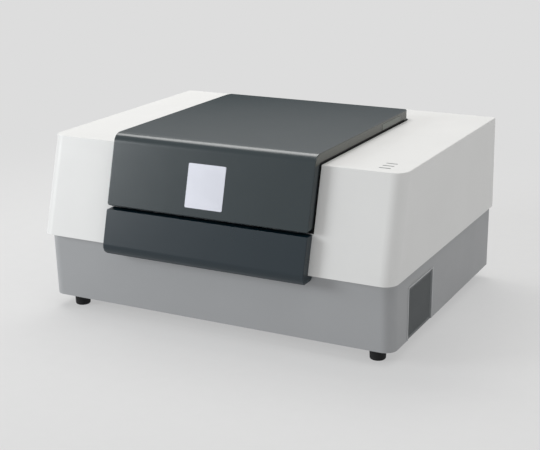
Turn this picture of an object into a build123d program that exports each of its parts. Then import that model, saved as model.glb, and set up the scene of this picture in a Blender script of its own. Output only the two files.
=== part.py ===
# Bench-top fluorescence imager: grey base, white upper housing, hinged dark lid
# over a light-tight sample chamber, and an XY scanner with an optical head below
# the glass stage. Millimetres. X to the right, Y to the back, Z up. The origin is
# the centre of the footprint, on the surface that the feet stand on.
from build123d import *
from math import hypot, radians, tan
import os

os.makedirs("parts", exist_ok=True)

# Driving dimensions: the two housings
housing_width = 580
housing_depth = 412
housing_height = 148
slope_run = 40
housing_wall = 3
housing_side_lean = 2
housing_corner_radius = 20
back_corner_radius = 6
housing_edge_radius = 1.2
seam_flange_width = 12
base_height = 102
base_side_inset = 5
base_front_inset = 13
base_front_lean = 4
base_back_inset = 2
base_corner_radius = 18
base_back_corner_radius = 4
base_wall = 3
sheet_thickness = 2

# Driving dimensions: the feet
foot_height = 22
foot_radius = 12.5
foot_side_inset = 38
foot_front_inset = 33
foot_back_inset = 34
foot_taper = 1
foot_edge_radius = 2.5

# Driving dimensions: the lid, the front panel and the chamber
lid_width = housing_width - 251
lid_proud = 16
lid_fold_radius = 17
lid_wall = 2.5
lid_edge_radius = 1.5
lid_corner_radius = 4
lid_back_corner_radius = 20
lid_back_ease = 1.5
lid_side_gap = 2
lid_back_gap = 2
lid_lower_edge_drop = housing_height - 60.3
lid_rebate_depth = 1.2
lid_rebate_height = 3
finger_gap = 5.3
panel_drop = 13
panel_bottom_radius = 14
panel_corner_radius = 7
panel_edge_radius = 1
panel_wall = 3
rim_depth = 3
gasket_thickness = 4
gasket_width = 7
ledge_thickness = 3
chamber_wall = 3
stage_drop = housing_height - 52
stage_thickness = 4
liner_thickness = 2

# Driving dimensions: the lid hinge
hinge_set_back = housing_depth - 76
hinge_barrel_radius = 8
hinge_pin_radius = 2.5
hinge_bracket_thickness = 6
hinge_bracket_x = lid_width / 2 - 25.5
hinge_bracket_height = 40
hinge_leaf_thickness = 3
hinge_leaf_length = 96
hinge_leaf_height = 9
hinge_cap_length = 75
hinge_cap_height = 9
hinge_cap_corner_radius = 1.2
hinge_cap_front = hinge_set_back - 110

# Driving dimensions: the light plate, the indicators and the vent
plate_height = lid_lower_edge_drop - 23.7
plate_width = plate_height - 3
plate_thickness = 1
plate_corner_radius = 2
plate_top_drop = 18.2
plate_offset = -2
indicator_length = 17.5
indicator_width = 3
indicator_pitch = 13.5
indicator_count = 3
indicator_x = housing_width / 2 - 39.5
indicator_recess = 1
indicator_front = 21
vent_length = 97
vent_height = 78
vent_front = 34
vent_thickness = 2.5
vent_rim = 4
vent_slot_pitch = 4
vent_slot_width = 2.2
vent_recess = 0.8

# Driving dimensions: the stage glass and the scanner
glass_width = lid_width - 73
glass_length = housing_depth - 154
glass_thickness = 3
glass_front = 34
glass_ledge = 8
rod_radius = 5
rod_x = lid_width / 2 + 0.5
rod_z = 120
crossmember_width = lid_width + 45
crossmember_thickness = 12
front_crossmember = -11
rear_crossmember = housing_depth - 60
gantry_front = 100
gantry_travel = housing_depth - 196
head_travel = lid_width - 113
optical_offset = 47

# Clearances
running_gap = 0.05
fit_gap = 0.3
slide_gap = 0.6

# Levels that follow from them
base_z = foot_height
floor_z = base_z + sheet_thickness
seam_z = base_z + base_height
top_z = seam_z + housing_height
lid_z = top_z + lid_proud
lid_low_z = top_z - lid_lower_edge_drop
panel_top_z = lid_low_z - finger_gap
panel_low_z = seam_z - panel_drop
stage_z = top_z - stage_drop
deck_z = stage_z - stage_thickness

# Front-to-back places that follow from them
slope_length = hypot(slope_run, housing_height)
slope_cos = housing_height / slope_length
slope_sin = slope_run / slope_length
panel_round_z = panel_low_z + panel_bottom_radius
panel_reach = (
    slope_run * (top_z - panel_round_z) / housing_height
    + (lid_proud - panel_bottom_radius) / slope_cos
    + panel_bottom_radius
)
overall_depth = housing_depth + panel_reach
front_edge_y = panel_reach - overall_depth / 2
back_y = overall_depth / 2
base_front_y = front_edge_y - slope_run + base_front_inset
base_back_y = back_y - base_back_inset

# Half widths that follow from them
housing_half = housing_width / 2
base_half = housing_half - base_side_inset
lid_half = lid_width / 2
opening_half = lid_half + lid_side_gap
chamber_half = opening_half + fit_gap
ledge_depth = rim_depth + fit_gap + gasket_thickness
rim_inner_half = lid_half - lid_wall - gasket_width / 2
hinge_y = front_edge_y + hinge_set_back
hinge_z = lid_z - hinge_barrel_radius
opening_back_y = hinge_y + hinge_barrel_radius + lid_back_gap
tub_back_y = opening_back_y + fit_gap + chamber_wall


def back_from_front(distance):
    """Y at a distance behind the white housing's upper front edge."""
    return front_edge_y + distance


def slope_y(z, depth=0):
    """Y on the plane that lies parallel to the front slope, depth mm inside it."""
    return front_edge_y - slope_run * (top_z - z) / housing_height + depth / slope_cos


def corner(depth):
    """Where the sloping plane and the level plane at one depth meet."""
    return (slope_y(top_z - depth, depth), top_z - depth)


def wrap_points(outer, inner, low_z, back):
    """Side outline of a layer that follows the slope and the top between two depths."""
    return [
        (slope_y(low_z, outer), low_z),
        corner(outer),
        (back, top_z - outer),
        (back, top_z - inner),
        corner(inner),
        (slope_y(low_z, inner), low_z),
    ]


def upright_edges(part):
    return part.edges().filter_by(lambda edge: abs(edge.tangent_at(0.5).Z) > 0.9)


def prism(points, half_width):
    """A side outline drawn out to both sides of the middle."""
    with BuildPart() as block:
        with BuildSketch(Plane.YZ):
            with BuildLine():
                Polyline(*points, close=True)
            make_face()
        extrude(amount=half_width, both=True)
    return block


def span_box(x, y, z):
    """A box given by its low and high values, made apart from any builder."""
    size = [high - low for low, high in (x, y, z)]
    middle = [(high + low) / 2 for low, high in (x, y, z)]
    return Pos(*middle) * Box(*size)


def housing_block(inset):
    """The upper housing's outer form, or the space inside its walls."""
    low_z = seam_z + inset
    high_z = top_z - inset
    low_half = housing_half - inset
    high_half = low_half - housing_side_lean
    block = prism(
        [
            (slope_y(low_z, inset), low_z),
            (slope_y(high_z, inset), high_z),
            (back_y - inset, high_z),
            (back_y - inset, low_z),
        ],
        low_half,
    )
    with BuildPart() as lean:
        with BuildSketch(Plane.XZ):
            with BuildLine():
                Polyline(
                    (-low_half, low_z), (low_half, low_z), (high_half, high_z), (-high_half, high_z), close=True
                )
            make_face()
        extrude(amount=2 * housing_depth, both=True)
    block.part = block.part & lean.part
    with block:
        corners = upright_edges(block).group_by(Axis.Y)
        fillet(corners[0], radius=housing_corner_radius - inset)
        fillet(corners[-1], radius=back_corner_radius - inset)
    return block.part


def base_block(inset):
    """The base casing's outer form, or the space inside its four walls."""
    block = prism(
        [
            (base_front_y + base_front_lean + inset, base_z),
            (base_front_y + inset, seam_z),
            (base_back_y - inset, seam_z),
            (base_back_y - inset, base_z),
        ],
        base_half - inset,
    )
    with block:
        corners = upright_edges(block).group_by(Axis.Y)
        fillet(corners[0], radius=base_corner_radius - inset)
        fillet(corners[-1], radius=base_back_corner_radius - inset)
    return block.part


# Base casing: four walls, screw lugs, the vent window and the rear window
vent_low_y = back_from_front(vent_front)
vent_high_y = vent_low_y + vent_length
vent_top_z = base_z + vent_height
rear_left = 23 - base_half
rear_right = rear_left + 392
rear_margin = 9
rear_overlap = 10
rear_screw_radius = 1.5
rear_low_z = base_z + rear_margin
rear_top_z = seam_z - rear_margin
rear_middle_z = (rear_low_z + rear_top_z) / 2
rear_screw_places = [
    (x, rear_middle_z + rise)
    for x in (rear_left - rear_overlap / 2, rear_right + rear_overlap / 2)
    for rise in (-28, 0, 28)
]
lug_size = 12
lug_height = 14
lug_hole_radius = 1.5
lug_x = base_half - base_wall - lug_size / 2
lug_ys = [base_front_y + 42, base_front_y + 225, base_back_y - 30]
lug_places = [(side * lug_x, y) for side in (-1, 1) for y in lug_ys]
base_outer = base_block(0)
base_core = base_block(base_wall)
with BuildPart() as base_casing:
    add(base_outer)
    add(base_core, mode=Mode.SUBTRACT)
    with BuildSketch(Plane.XY.offset(floor_z)):
        with Locations(*lug_places):
            Rectangle(lug_size, lug_size)
            Circle(lug_hole_radius, mode=Mode.SUBTRACT)
    extrude(amount=lug_height)
    with BuildSketch(Plane.YZ.offset(base_half - 2 * base_wall)):
        with Locations((vent_low_y, base_z - base_wall)):
            Rectangle(vent_length, vent_height + base_wall, align=(Align.MIN, Align.MIN))
    extrude(amount=3 * base_wall, mode=Mode.SUBTRACT)
    with BuildSketch(Plane.XZ.offset(-base_back_y - base_wall)):
        with Locations(((rear_left + rear_right) / 2, rear_middle_z)):
            RectangleRounded(rear_right - rear_left, rear_top_z - rear_low_z, 5)
        with Locations(*rear_screw_places):
            Circle(rear_screw_radius)
    extrude(amount=3 * base_wall, mode=Mode.SUBTRACT)
base_casing.part.label = "base_casing"
export_step(base_casing.part, "parts/base_casing.step")

# Bottom plate: a sheet inside the casing's lower edge, with holes for its screws
foot_x = housing_half - foot_side_inset
foot_ys = (base_front_y + foot_front_inset, base_back_y - foot_back_inset)
foot_places = [(side * foot_x, y) for side in (-1, 1) for y in foot_ys]
foot_screw_radius = 2
foot_screw_head_radius = 4
plate_screw_radius = 1.5
bottom_front_y = base_front_y + base_front_lean + base_wall + fit_gap
bottom_back_y = base_back_y - base_wall - fit_gap
bottom_half = base_half - base_wall - fit_gap
board_pillar_height = 10
board_x = base_half - 56
board_y = base_back_y - 172
board_width = 66
board_length = 170
board_pillar_places = [
    (board_x + across * (board_width / 2 - 6), board_y + along * (board_length / 2 - 6))
    for across in (-1, 1)
    for along in (-1, 1)
]
with BuildPart() as bottom_plate:
    with BuildSketch(Plane.XY.offset(base_z)) as bottom_outline:
        with BuildLine():
            Polyline(
                (-bottom_half, bottom_front_y),
                (bottom_half, bottom_front_y),
                (bottom_half, bottom_back_y),
                (-bottom_half, bottom_back_y),
                close=True,
            )
        make_face()
        fillet(bottom_outline.vertices().group_by(Axis.Y)[0], radius=base_corner_radius)
        fillet(bottom_outline.vertices().group_by(Axis.Y)[-1], radius=base_back_corner_radius)
        with Locations(*foot_places):
            Circle(foot_screw_radius, mode=Mode.SUBTRACT)
        with Locations(*lug_places):
            Circle(plate_screw_radius, mode=Mode.SUBTRACT)
    extrude(amount=sheet_thickness)
    with Locations(*[(x, y, floor_z) for x, y in board_pillar_places]):
        Cylinder(3, board_pillar_height, align=(Align.CENTER, Align.CENTER, Align.MIN))
bottom_plate.part.label = "bottom_plate"
export_step(bottom_plate.part, "parts/bottom_plate.step")

# Rubber feet: four turned pads with a countersunk well for the screw
foot_well_radius = foot_screw_head_radius + 1
foot_well_depth = 12
with BuildPart() as rubber_feet:
    with Locations(*[(x, y, 0) for x, y in foot_places]):
        Cone(
            foot_radius - foot_taper,
            foot_radius,
            foot_height,
            align=(Align.CENTER, Align.CENTER, Align.MIN),
        )
    fillet(rubber_feet.edges().group_by(Axis.Z)[0], radius=foot_edge_radius)
    with Locations(*[(x, y, foot_well_depth / 2) for x, y in foot_places]):
        Cylinder(foot_well_radius, foot_well_depth, mode=Mode.SUBTRACT)
    with Locations(*[(x, y, foot_height / 2) for x, y in foot_places]):
        Cylinder(foot_screw_radius, foot_height, mode=Mode.SUBTRACT)
rubber_feet.part.label = "rubber_feet"
export_step(rubber_feet.part, "parts/rubber_feet.step")

# Foot screws: shank through the pad and the bottom plate, head in the well
foot_screw_head_height = 3
foot_screw_length = foot_height - foot_well_depth + sheet_thickness + 4
with BuildPart() as foot_screws:
    with Locations(*[(x, y, foot_well_depth) for x, y in foot_places]):
        Cylinder(
            foot_screw_radius, foot_screw_length, align=(Align.CENTER, Align.CENTER, Align.MIN)
        )
        Cylinder(
            foot_screw_head_radius,
            foot_screw_head_height,
            align=(Align.CENTER, Align.CENTER, Align.MAX),
        )
foot_screws.part.label = "foot_screws"
export_step(foot_screws.part, "parts/foot_screws.step")

# Bottom screws: they draw the bottom plate up against the casing's lugs
with BuildPart() as bottom_screws:
    with Locations(*[(x, y, base_z) for x, y in lug_places]):
        Cylinder(
            plate_screw_radius,
            sheet_thickness + lug_height / 2,
            align=(Align.CENTER, Align.CENTER, Align.MIN),
        )
        Cylinder(
            2 * plate_screw_radius,
            plate_screw_radius,
            align=(Align.CENTER, Align.CENTER, Align.MAX),
        )
bottom_screws.part.label = "bottom_screws"
export_step(bottom_screws.part, "parts/bottom_screws.step")

# Upper housing: a closed white shell with a seam flange, cut open for the lid
indicator_ys = [
    back_from_front(indicator_front + number * indicator_pitch)
    for number in range(indicator_count)
]
board_post_radius = 3
board_gap = 9
board_thickness = 1.6
board_reach = 10
board_post_places = [
    (indicator_x, indicator_ys[0] - board_reach),
    (indicator_x, indicator_ys[-1] + board_reach),
]
panel_screw_x = lid_half - 44.5
panel_screw_zs = (seam_z + 12, panel_top_z - 12)
panel_screw_radius = 1.5
housing_outer = housing_block(0)
housing_core = housing_block(housing_wall)
lid_opening = prism(
    [
        (slope_y(panel_top_z, -lid_proud), panel_top_z),
        (slope_y(panel_top_z, -lid_proud), lid_z),
        (opening_back_y, lid_z),
        (opening_back_y, panel_top_z),
    ],
    opening_half,
)
with lid_opening:
    opening_corners = lid_opening.edges().filter_by(Axis.Z).group_by(Axis.Y)[-1]
    fillet(opening_corners, radius=lid_back_corner_radius - lid_side_gap)
slope_plane = Plane(
    origin=(0, front_edge_y, top_z), x_dir=(1, 0, 0), z_dir=(0, -slope_cos, slope_sin)
)


def slope_place(x, z):
    """Place on the front slope's own plane for a point at height z."""
    return (x, -(top_z - z) / slope_cos)


panel_screw_places = [slope_place(side * panel_screw_x, z) for side in (-1, 1) for z in panel_screw_zs]
with BuildPart() as upper_housing:
    add(housing_outer)
    fillet(upper_housing.faces().sort_by(Axis.Z)[-1].edges(), radius=housing_edge_radius)
    add(housing_core, mode=Mode.SUBTRACT)
    with BuildSketch(Plane.XY.offset(seam_z - housing_wall)):
        with BuildLine():
            Polyline(
                (-base_half + seam_flange_width, base_front_y + seam_flange_width),
                (base_half - seam_flange_width, base_front_y + seam_flange_width),
                (base_half - seam_flange_width, base_back_y - seam_flange_width),
                (-base_half + seam_flange_width, base_back_y - seam_flange_width),
                close=True,
            )
        make_face()
    extrude(amount=3 * housing_wall, mode=Mode.SUBTRACT)
    add(lid_opening.part, mode=Mode.SUBTRACT)
    with BuildSketch(Plane.XY.offset(top_z - housing_wall)):
        with Locations(*board_post_places):
            Circle(board_post_radius)
    extrude(amount=housing_wall - board_gap - housing_wall)
    with BuildSketch(Plane.XY.offset(top_z - 2 * housing_wall)):
        with Locations(*[(indicator_x, y) for y in indicator_ys]):
            SlotOverall(indicator_length, indicator_width)
    extrude(amount=3 * housing_wall, mode=Mode.SUBTRACT)
    with BuildSketch(slope_plane.offset(-2 * housing_wall)):
        with Locations(*panel_screw_places):
            Circle(panel_screw_radius)
    extrude(amount=3 * housing_wall, mode=Mode.SUBTRACT)
upper_housing.part.label = "upper_housing"
export_step(upper_housing.part, "parts/upper_housing.step")

# Front panel: hollow dark moulding over the seam, rounded under, screwed from behind
panel_outer_points = [
    (slope_y(panel_top_z), panel_top_z),
    (slope_y(panel_top_z, -lid_proud), panel_top_z),
    (slope_y(panel_low_z, -lid_proud), panel_low_z),
    (base_front_y + base_front_lean * panel_drop / base_height - fit_gap, panel_low_z),
    (base_front_y - fit_gap, seam_z - fit_gap),
    (slope_y(seam_z - fit_gap), seam_z - fit_gap),
]
panel_core_low_z = panel_low_z + panel_wall
panel_core_points = [
    (slope_y(panel_top_z) + lid_proud, panel_top_z - panel_wall),
    (slope_y(panel_top_z - panel_wall, panel_wall - lid_proud), panel_top_z - panel_wall),
    (slope_y(panel_core_low_z, panel_wall - lid_proud), panel_core_low_z),
    (slope_y(panel_core_low_z, panel_wall - lid_proud) + 3 * lid_proud, panel_core_low_z),
]


def rounded_prism(points, rounded_corner, radius, half_width):
    """A side outline with one corner rounded, drawn out to both sides."""
    with BuildPart() as block:
        with BuildSketch(Plane.YZ) as outline:
            with BuildLine():
                Polyline(*points, close=True)
            make_face()
            nearest = outline.vertices().sort_by_distance((*rounded_corner, 0))[0]
            fillet(nearest, radius=radius)
        extrude(amount=half_width, both=True)
    return block


panel_core = rounded_prism(
    panel_core_points, panel_core_points[2], panel_bottom_radius - panel_wall, lid_half - panel_wall
)
panel_body = rounded_prism(panel_outer_points, panel_outer_points[2], panel_bottom_radius, lid_half)
panel_boss_radius = 4
panel_corner_drop = 2


def is_panel_front(face):
    """True for the panel's large sloping outer face."""
    middle = face.center()
    return middle.Y < slope_y(middle.Z, -lid_proud / 2) and abs(face.normal_at().Z - slope_sin) < 0.01


panel_boss_length = lid_proud - panel_wall / 2
with BuildPart() as front_panel:
    add(panel_body.part)
    with BuildSketch(Plane.XZ.offset(overall_depth)) as panel_front:
        with BuildLine():
            Polyline(
                (-lid_half, panel_low_z - panel_corner_drop),
                (lid_half, panel_low_z - panel_corner_drop),
                (lid_half, panel_top_z),
                (-lid_half, panel_top_z),
                close=True,
            )
        make_face()
        fillet(panel_front.vertices().group_by(Axis.Y)[0], radius=panel_corner_radius + panel_corner_drop)
        fillet(panel_front.vertices().group_by(Axis.Y)[-1], radius=2 * panel_edge_radius)
    extrude(amount=-2 * overall_depth, mode=Mode.INTERSECT)
    panel_face = front_panel.faces().filter_by(is_panel_front)
    fillet(panel_face.edges().filter_by(lambda edge: abs(edge.center().X) > 1), radius=panel_edge_radius)
    add(panel_core.part, mode=Mode.SUBTRACT)
    with BuildSketch(slope_plane):
        with Locations(*panel_screw_places):
            Circle(panel_boss_radius)
    extrude(amount=panel_boss_length)
    with BuildSketch(slope_plane):
        with Locations(*panel_screw_places):
            Circle(panel_screw_radius)
    extrude(amount=panel_boss_length - panel_wall, mode=Mode.SUBTRACT)
front_panel.part.label = "front_panel"
export_step(front_panel.part, "parts/front_panel.step")

# Panel screws: driven from inside the housing into the panel's bosses
with BuildPart() as panel_screws:
    with BuildSketch(slope_plane.offset(-housing_wall)):
        with Locations(*panel_screw_places):
            Circle(panel_screw_radius)
    extrude(amount=housing_wall + panel_boss_length - 2 * panel_wall)
    with BuildSketch(slope_plane.offset(-housing_wall)):
        with Locations(*panel_screw_places):
            Circle(2 * panel_screw_radius)
    extrude(amount=-panel_screw_radius)
panel_screws.part.label = "panel_screws"
export_step(panel_screws.part, "parts/panel_screws.step")

# Lid shell: top, fold, sloping front, side walls and the hinge barrel at the back
sides = (-1, 1)
hinge_clear = 1
barrel_inner_radius = hinge_barrel_radius - lid_wall
knuckle_radius = barrel_inner_radius - fit_gap
leaf_inner_x = hinge_bracket_x + hinge_bracket_thickness / 2 + 3 * hinge_clear
leaf_outer_x = leaf_inner_x + hinge_leaf_thickness
lid_inner_half = lid_half - lid_wall
hinge_screw_radius = 2
hinge_screw_head_radius = 3.2
hinge_cap_depth = 1.2
hinge_screw_places = [(hinge_y - reach, hinge_z) for reach in (80, 45)]
liner_boss_radius = 4
liner_screw_radius = 1.5
liner_top_z = top_z - rim_depth + liner_thickness
liner_boss_places = [
    (side * x, back_from_front(distance))
    for side in (-1, 1)
    for x, distance in (
        (0.36 * lid_half, 40),
        (0.85 * lid_half, 0.36 * housing_depth),
        (0.36 * lid_half, 0.7 * housing_depth),
    )
]
lid_rim_z = top_z - rim_depth
lid_core_low_z = lid_low_z + lid_wall
lid_front_plane = slope_plane.offset(lid_proud)
plate_place = (plate_offset, -plate_top_drop - plate_height / 2)
plate_recess = plate_thickness / 2


def plan_outline(half, back, radius):
    """Seen from above: straight sides and a back edge with rounded corners."""
    with BuildPart() as block:
        with BuildSketch() as outline:
            with BuildLine():
                Polyline((-half, -overall_depth), (half, -overall_depth), (half, back), (-half, back), close=True)
            make_face()
            fillet(outline.vertices().group_by(Axis.Y)[-1], radius=radius)
        extrude(amount=2 * lid_z)
    return block.part


def lid_block(depth, low_z, barrel_radius, rim_points, half):
    """The lid's form at one depth: sloping front, fold, top and barrel, over the rim."""
    back_z = hinge_z + barrel_radius
    fold = (slope_y(back_z, depth), back_z)
    with BuildPart() as block:
        with BuildSketch(Plane.YZ) as outline:
            with BuildLine():
                Polyline(
                    (hinge_y, hinge_z - barrel_radius),
                    *rim_points,
                    (slope_y(low_z, depth), low_z),
                    fold,
                    (hinge_y, back_z),
                )
                ThreePointArc(
                    (hinge_y, back_z),
                    (hinge_y + barrel_radius, hinge_z),
                    (hinge_y, hinge_z - barrel_radius),
                )
            make_face()
            nearest = outline.vertices().sort_by_distance((*fold, 0))[0]
            fillet(nearest, radius=lid_fold_radius - lid_proud - depth)
        extrude(amount=half, both=True)
        back_radius = lid_back_corner_radius - (lid_half - half)
        back_line_y = hinge_y + barrel_radius + lid_back_ease
        add(plan_outline(half, back_line_y, back_radius), mode=Mode.INTERSECT)
    return block


def on_outside(edge):
    """True for an edge of the lid that lies on its skin and not on its rim."""
    middle = edge.center()
    from_slope = (middle.Y - slope_y(middle.Z)) * slope_cos
    return min(from_slope, top_z - middle.Z) < -lid_proud / 2


lid_body = lid_block(
    -lid_proud,
    lid_low_z,
    hinge_barrel_radius,
    [
        (hinge_y, lid_rim_z),
        corner(rim_depth),
        (slope_y(lid_low_z, rim_depth), lid_low_z),
    ],
    lid_half,
)
lid_core = lid_block(
    lid_wall - lid_proud,
    lid_core_low_z,
    barrel_inner_radius,
    [
        (hinge_y, lid_rim_z - rim_depth),
        (front_edge_y + lid_proud, lid_rim_z - rim_depth),
        (front_edge_y + lid_proud, lid_core_low_z),
    ],
    lid_inner_half,
)
with lid_body:
    low_corners = lid_body.edges().filter_by(Axis.Y).group_by(Axis.Z)[0]
    fillet(low_corners, radius=lid_corner_radius)
    skin_edges = lid_body.edges().filter_by(on_outside)
    fillet(skin_edges.filter_by(lambda edge: abs(edge.center().X) > lid_half / 2), radius=lid_edge_radius)


def hinge_screw_tool(side):
    """One side's countersunk screws, lying along X with their heads under the cap."""
    head_x = lid_half - hinge_cap_depth
    with BuildPart() as tool:
        for y, z in hinge_screw_places:
            with BuildSketch(Plane.YZ.offset(side * (leaf_inner_x + running_gap))):
                with Locations((y, z)):
                    Circle(hinge_screw_radius)
            extrude(amount=side * (head_x - leaf_inner_x - running_gap))
            with BuildSketch(Plane.YZ.offset(side * head_x)):
                with Locations((y, z)):
                    Circle(hinge_screw_head_radius)
            extrude(amount=-side * hinge_cap_depth, taper=45)
    return tool.part


hinge_cap_middle = back_from_front(hinge_cap_front + hinge_cap_length / 2)
lid_rebate = prism(
    wrap_points(-lid_rebate_height, 2 * rim_depth, lid_low_z - 1, hinge_y - 2 * hinge_barrel_radius),
    lid_half + 1,
)
lid_rebate_core = prism(
    wrap_points(-lid_proud, lid_proud, lid_low_z - 2, hinge_y), lid_half - lid_rebate_depth
)
lid_rebate_strips = lid_rebate.part - lid_rebate_core.part
with BuildPart() as lid_shell:
    add(lid_body.part)
    add(lid_core.part, mode=Mode.SUBTRACT)
    add(lid_rebate_strips, mode=Mode.SUBTRACT)
    with BuildSketch(Plane.XY.offset(liner_top_z)):
        with Locations(*liner_boss_places):
            Circle(liner_boss_radius)
            Circle(liner_screw_radius, mode=Mode.SUBTRACT)
    extrude(amount=lid_z - lid_wall - liner_top_z)
    for side in sides:
        with BuildSketch(Plane.YZ.offset(side * leaf_outer_x)):
            with Locations(*hinge_screw_places):
                Circle(2 * hinge_screw_radius)
        extrude(amount=side * (lid_inner_half - leaf_outer_x))
        with BuildSketch(Plane.YZ.offset(side * (lid_half - hinge_cap_depth))):
            with Locations((hinge_cap_middle, hinge_z)):
                RectangleRounded(hinge_cap_length, hinge_cap_height, hinge_cap_corner_radius)
        extrude(amount=side * lid_wall, mode=Mode.SUBTRACT)
        add(hinge_screw_tool(side), mode=Mode.SUBTRACT)
        notch_half = hinge_bracket_thickness / 2 + hinge_clear
        with BuildSketch(Plane.YZ.offset(side * hinge_bracket_x - notch_half)):
            with BuildLine():
                Polyline(
                    (hinge_y - hinge_barrel_radius, hinge_z + barrel_inner_radius),
                    (hinge_y + 2 * hinge_barrel_radius, hinge_z + barrel_inner_radius),
                    (hinge_y + 2 * hinge_barrel_radius, hinge_z - 2 * hinge_barrel_radius),
                    (hinge_y - hinge_barrel_radius, hinge_z - 2 * hinge_barrel_radius),
                    close=True,
                )
            make_face()
        extrude(amount=2 * notch_half, mode=Mode.SUBTRACT)
    with BuildSketch(lid_front_plane):
        with Locations(plate_place):
            RectangleRounded(plate_width + fit_gap, plate_height + fit_gap, plate_corner_radius)
    extrude(amount=-plate_recess, mode=Mode.SUBTRACT)
lid_shell.part.label = "lid_shell"
export_step(lid_shell.part, "parts/lid_shell.step")

# Lid plate: a bare light plate in a shallow recess on the sloping front
with BuildPart() as lid_plate:
    with BuildSketch(lid_front_plane.offset(-plate_recess)):
        with Locations(plate_place):
            RectangleRounded(plate_width, plate_height, plate_corner_radius)
    extrude(amount=plate_thickness)
lid_plate.part.label = "lid_plate"
export_step(lid_plate.part, "parts/lid_plate.step")

# Lid liner: the folded inner sheet that closes the lid and presses on the gasket
liner_back_y = hinge_y - 2 * hinge_barrel_radius
liner_blank = prism(
    wrap_points(rim_depth - liner_thickness, rim_depth, lid_core_low_z + fit_gap, liner_back_y),
    lid_inner_half - fit_gap,
)
with BuildPart() as lid_liner:
    add(liner_blank.part)
    with BuildSketch(Plane.XY.offset(top_z)):
        with Locations(*liner_boss_places):
            Circle(liner_screw_radius)
    extrude(amount=-2 * rim_depth, mode=Mode.SUBTRACT)
lid_liner.part.label = "lid_liner"
export_step(lid_liner.part, "parts/lid_liner.step")

# Liner screws: pan heads under the liner, shanks in the lid's bosses
with BuildPart() as liner_screws:
    with Locations(*[(x, y, top_z - rim_depth) for x, y in liner_boss_places]):
        Cylinder(
            liner_screw_radius, 2 * liner_boss_radius, align=(Align.CENTER, Align.CENTER, Align.MIN)
        )
        Cylinder(
            2 * liner_screw_radius,
            liner_screw_radius,
            align=(Align.CENTER, Align.CENTER, Align.MAX),
        )
liner_screws.part.label = "liner_screws"
export_step(liner_screws.part, "parts/liner_screws.step")

# Hinge: caps outside; leaves, screws, pins and brackets inside, one set at each side
bracket_half = hinge_bracket_thickness / 2
bracket_plate_front_y = opening_back_y + fit_gap - chamber_wall
bracket_low_z = hinge_z - hinge_bracket_height - knuckle_radius
bracket_plate_top_z = top_z - housing_wall - fit_gap
bracket_plate_half = 9
pin_head_radius = 4
pin_head_length = 3
bracket_screw_head_radius = 2.9
bracket_top_y = hinge_y + knuckle_radius
bracket_screw_points = [
    (side * hinge_bracket_x + offset, z)
    for side in sides
    for offset in (-6, 6)
    for z in (bracket_low_z + 6, bracket_plate_top_z - 6)
]
with BuildPart() as hinge_caps:
    for side in sides:
        with BuildSketch(Plane.YZ.offset(side * (lid_half - hinge_cap_depth))):
            with Locations((hinge_cap_middle, hinge_z)):
                RectangleRounded(
                    hinge_cap_length - fit_gap, hinge_cap_height - fit_gap, hinge_cap_corner_radius
                )
        extrude(amount=side * (hinge_cap_depth + fit_gap))
hinge_caps.part.label = "hinge_caps"
export_step(hinge_caps.part, "parts/hinge_caps.step")

with BuildPart() as hinge_leaves:
    for side in sides:
        with BuildSketch(Plane.YZ.offset(side * leaf_inner_x)):
            with Locations((hinge_y, hinge_z)):
                Circle(knuckle_radius)
                Rectangle(hinge_leaf_length, hinge_leaf_height, align=(Align.MAX, Align.CENTER))
                Circle(hinge_pin_radius + running_gap, mode=Mode.SUBTRACT)
            with Locations(*hinge_screw_places):
                Circle(hinge_screw_radius, mode=Mode.SUBTRACT)
        extrude(amount=side * hinge_leaf_thickness)
hinge_leaves.part.label = "hinge_leaves"
export_step(hinge_leaves.part, "parts/hinge_leaves.step")

with BuildPart() as hinge_brackets:
    for side in sides:
        with BuildSketch(Plane.YZ.offset(side * hinge_bracket_x)):
            with BuildLine():
                Polyline(
                    (hinge_y - knuckle_radius, hinge_z),
                    (bracket_top_y, hinge_z),
                    (bracket_top_y, bracket_plate_top_z),
                    (bracket_plate_front_y, bracket_plate_top_z),
                    (bracket_plate_front_y, bracket_low_z),
                    (bracket_top_y, bracket_low_z),
                    (hinge_y - knuckle_radius, hinge_z - 3 * knuckle_radius),
                    close=True,
                )
            make_face()
            with Locations((hinge_y, hinge_z)):
                Circle(knuckle_radius)
                Circle(hinge_pin_radius, mode=Mode.SUBTRACT)
        extrude(amount=bracket_half, both=True)
        with BuildSketch(Plane.XZ.offset(-bracket_plate_front_y)):
            with Locations((side * hinge_bracket_x, (bracket_low_z + bracket_plate_top_z) / 2)):
                RectangleRounded(2 * bracket_plate_half, bracket_plate_top_z - bracket_low_z, 2)
        extrude(amount=-chamber_wall)
    with BuildSketch(Plane.XZ.offset(-bracket_plate_front_y)):
        with Locations(*bracket_screw_points):
            Circle(hinge_screw_radius)
    extrude(amount=-chamber_wall, mode=Mode.SUBTRACT)
hinge_brackets.part.label = "hinge_brackets"
export_step(hinge_brackets.part, "parts/hinge_brackets.step")

with BuildPart() as hinge_pins:
    for side in sides:
        with BuildSketch(Plane.YZ.offset(side * (hinge_bracket_x - bracket_half))):
            with Locations((hinge_y, hinge_z)):
                Circle(hinge_pin_radius)
        extrude(amount=side * (leaf_outer_x - hinge_bracket_x + bracket_half + fit_gap))
        with BuildSketch(Plane.YZ.offset(side * (hinge_bracket_x - bracket_half))):
            with Locations((hinge_y, hinge_z)):
                Circle(pin_head_radius)
        extrude(amount=-side * pin_head_length)
hinge_pins.part.label = "hinge_pins"
export_step(hinge_pins.part, "parts/hinge_pins.step")

# Hinge leaf screws: countersunk, from outside under the caps into the leaves
with BuildPart() as hinge_screws:
    for side in sides:
        add(hinge_screw_tool(side))
hinge_screws.part.label = "hinge_screws"
export_step(hinge_screws.part, "parts/hinge_screws.step")

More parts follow.
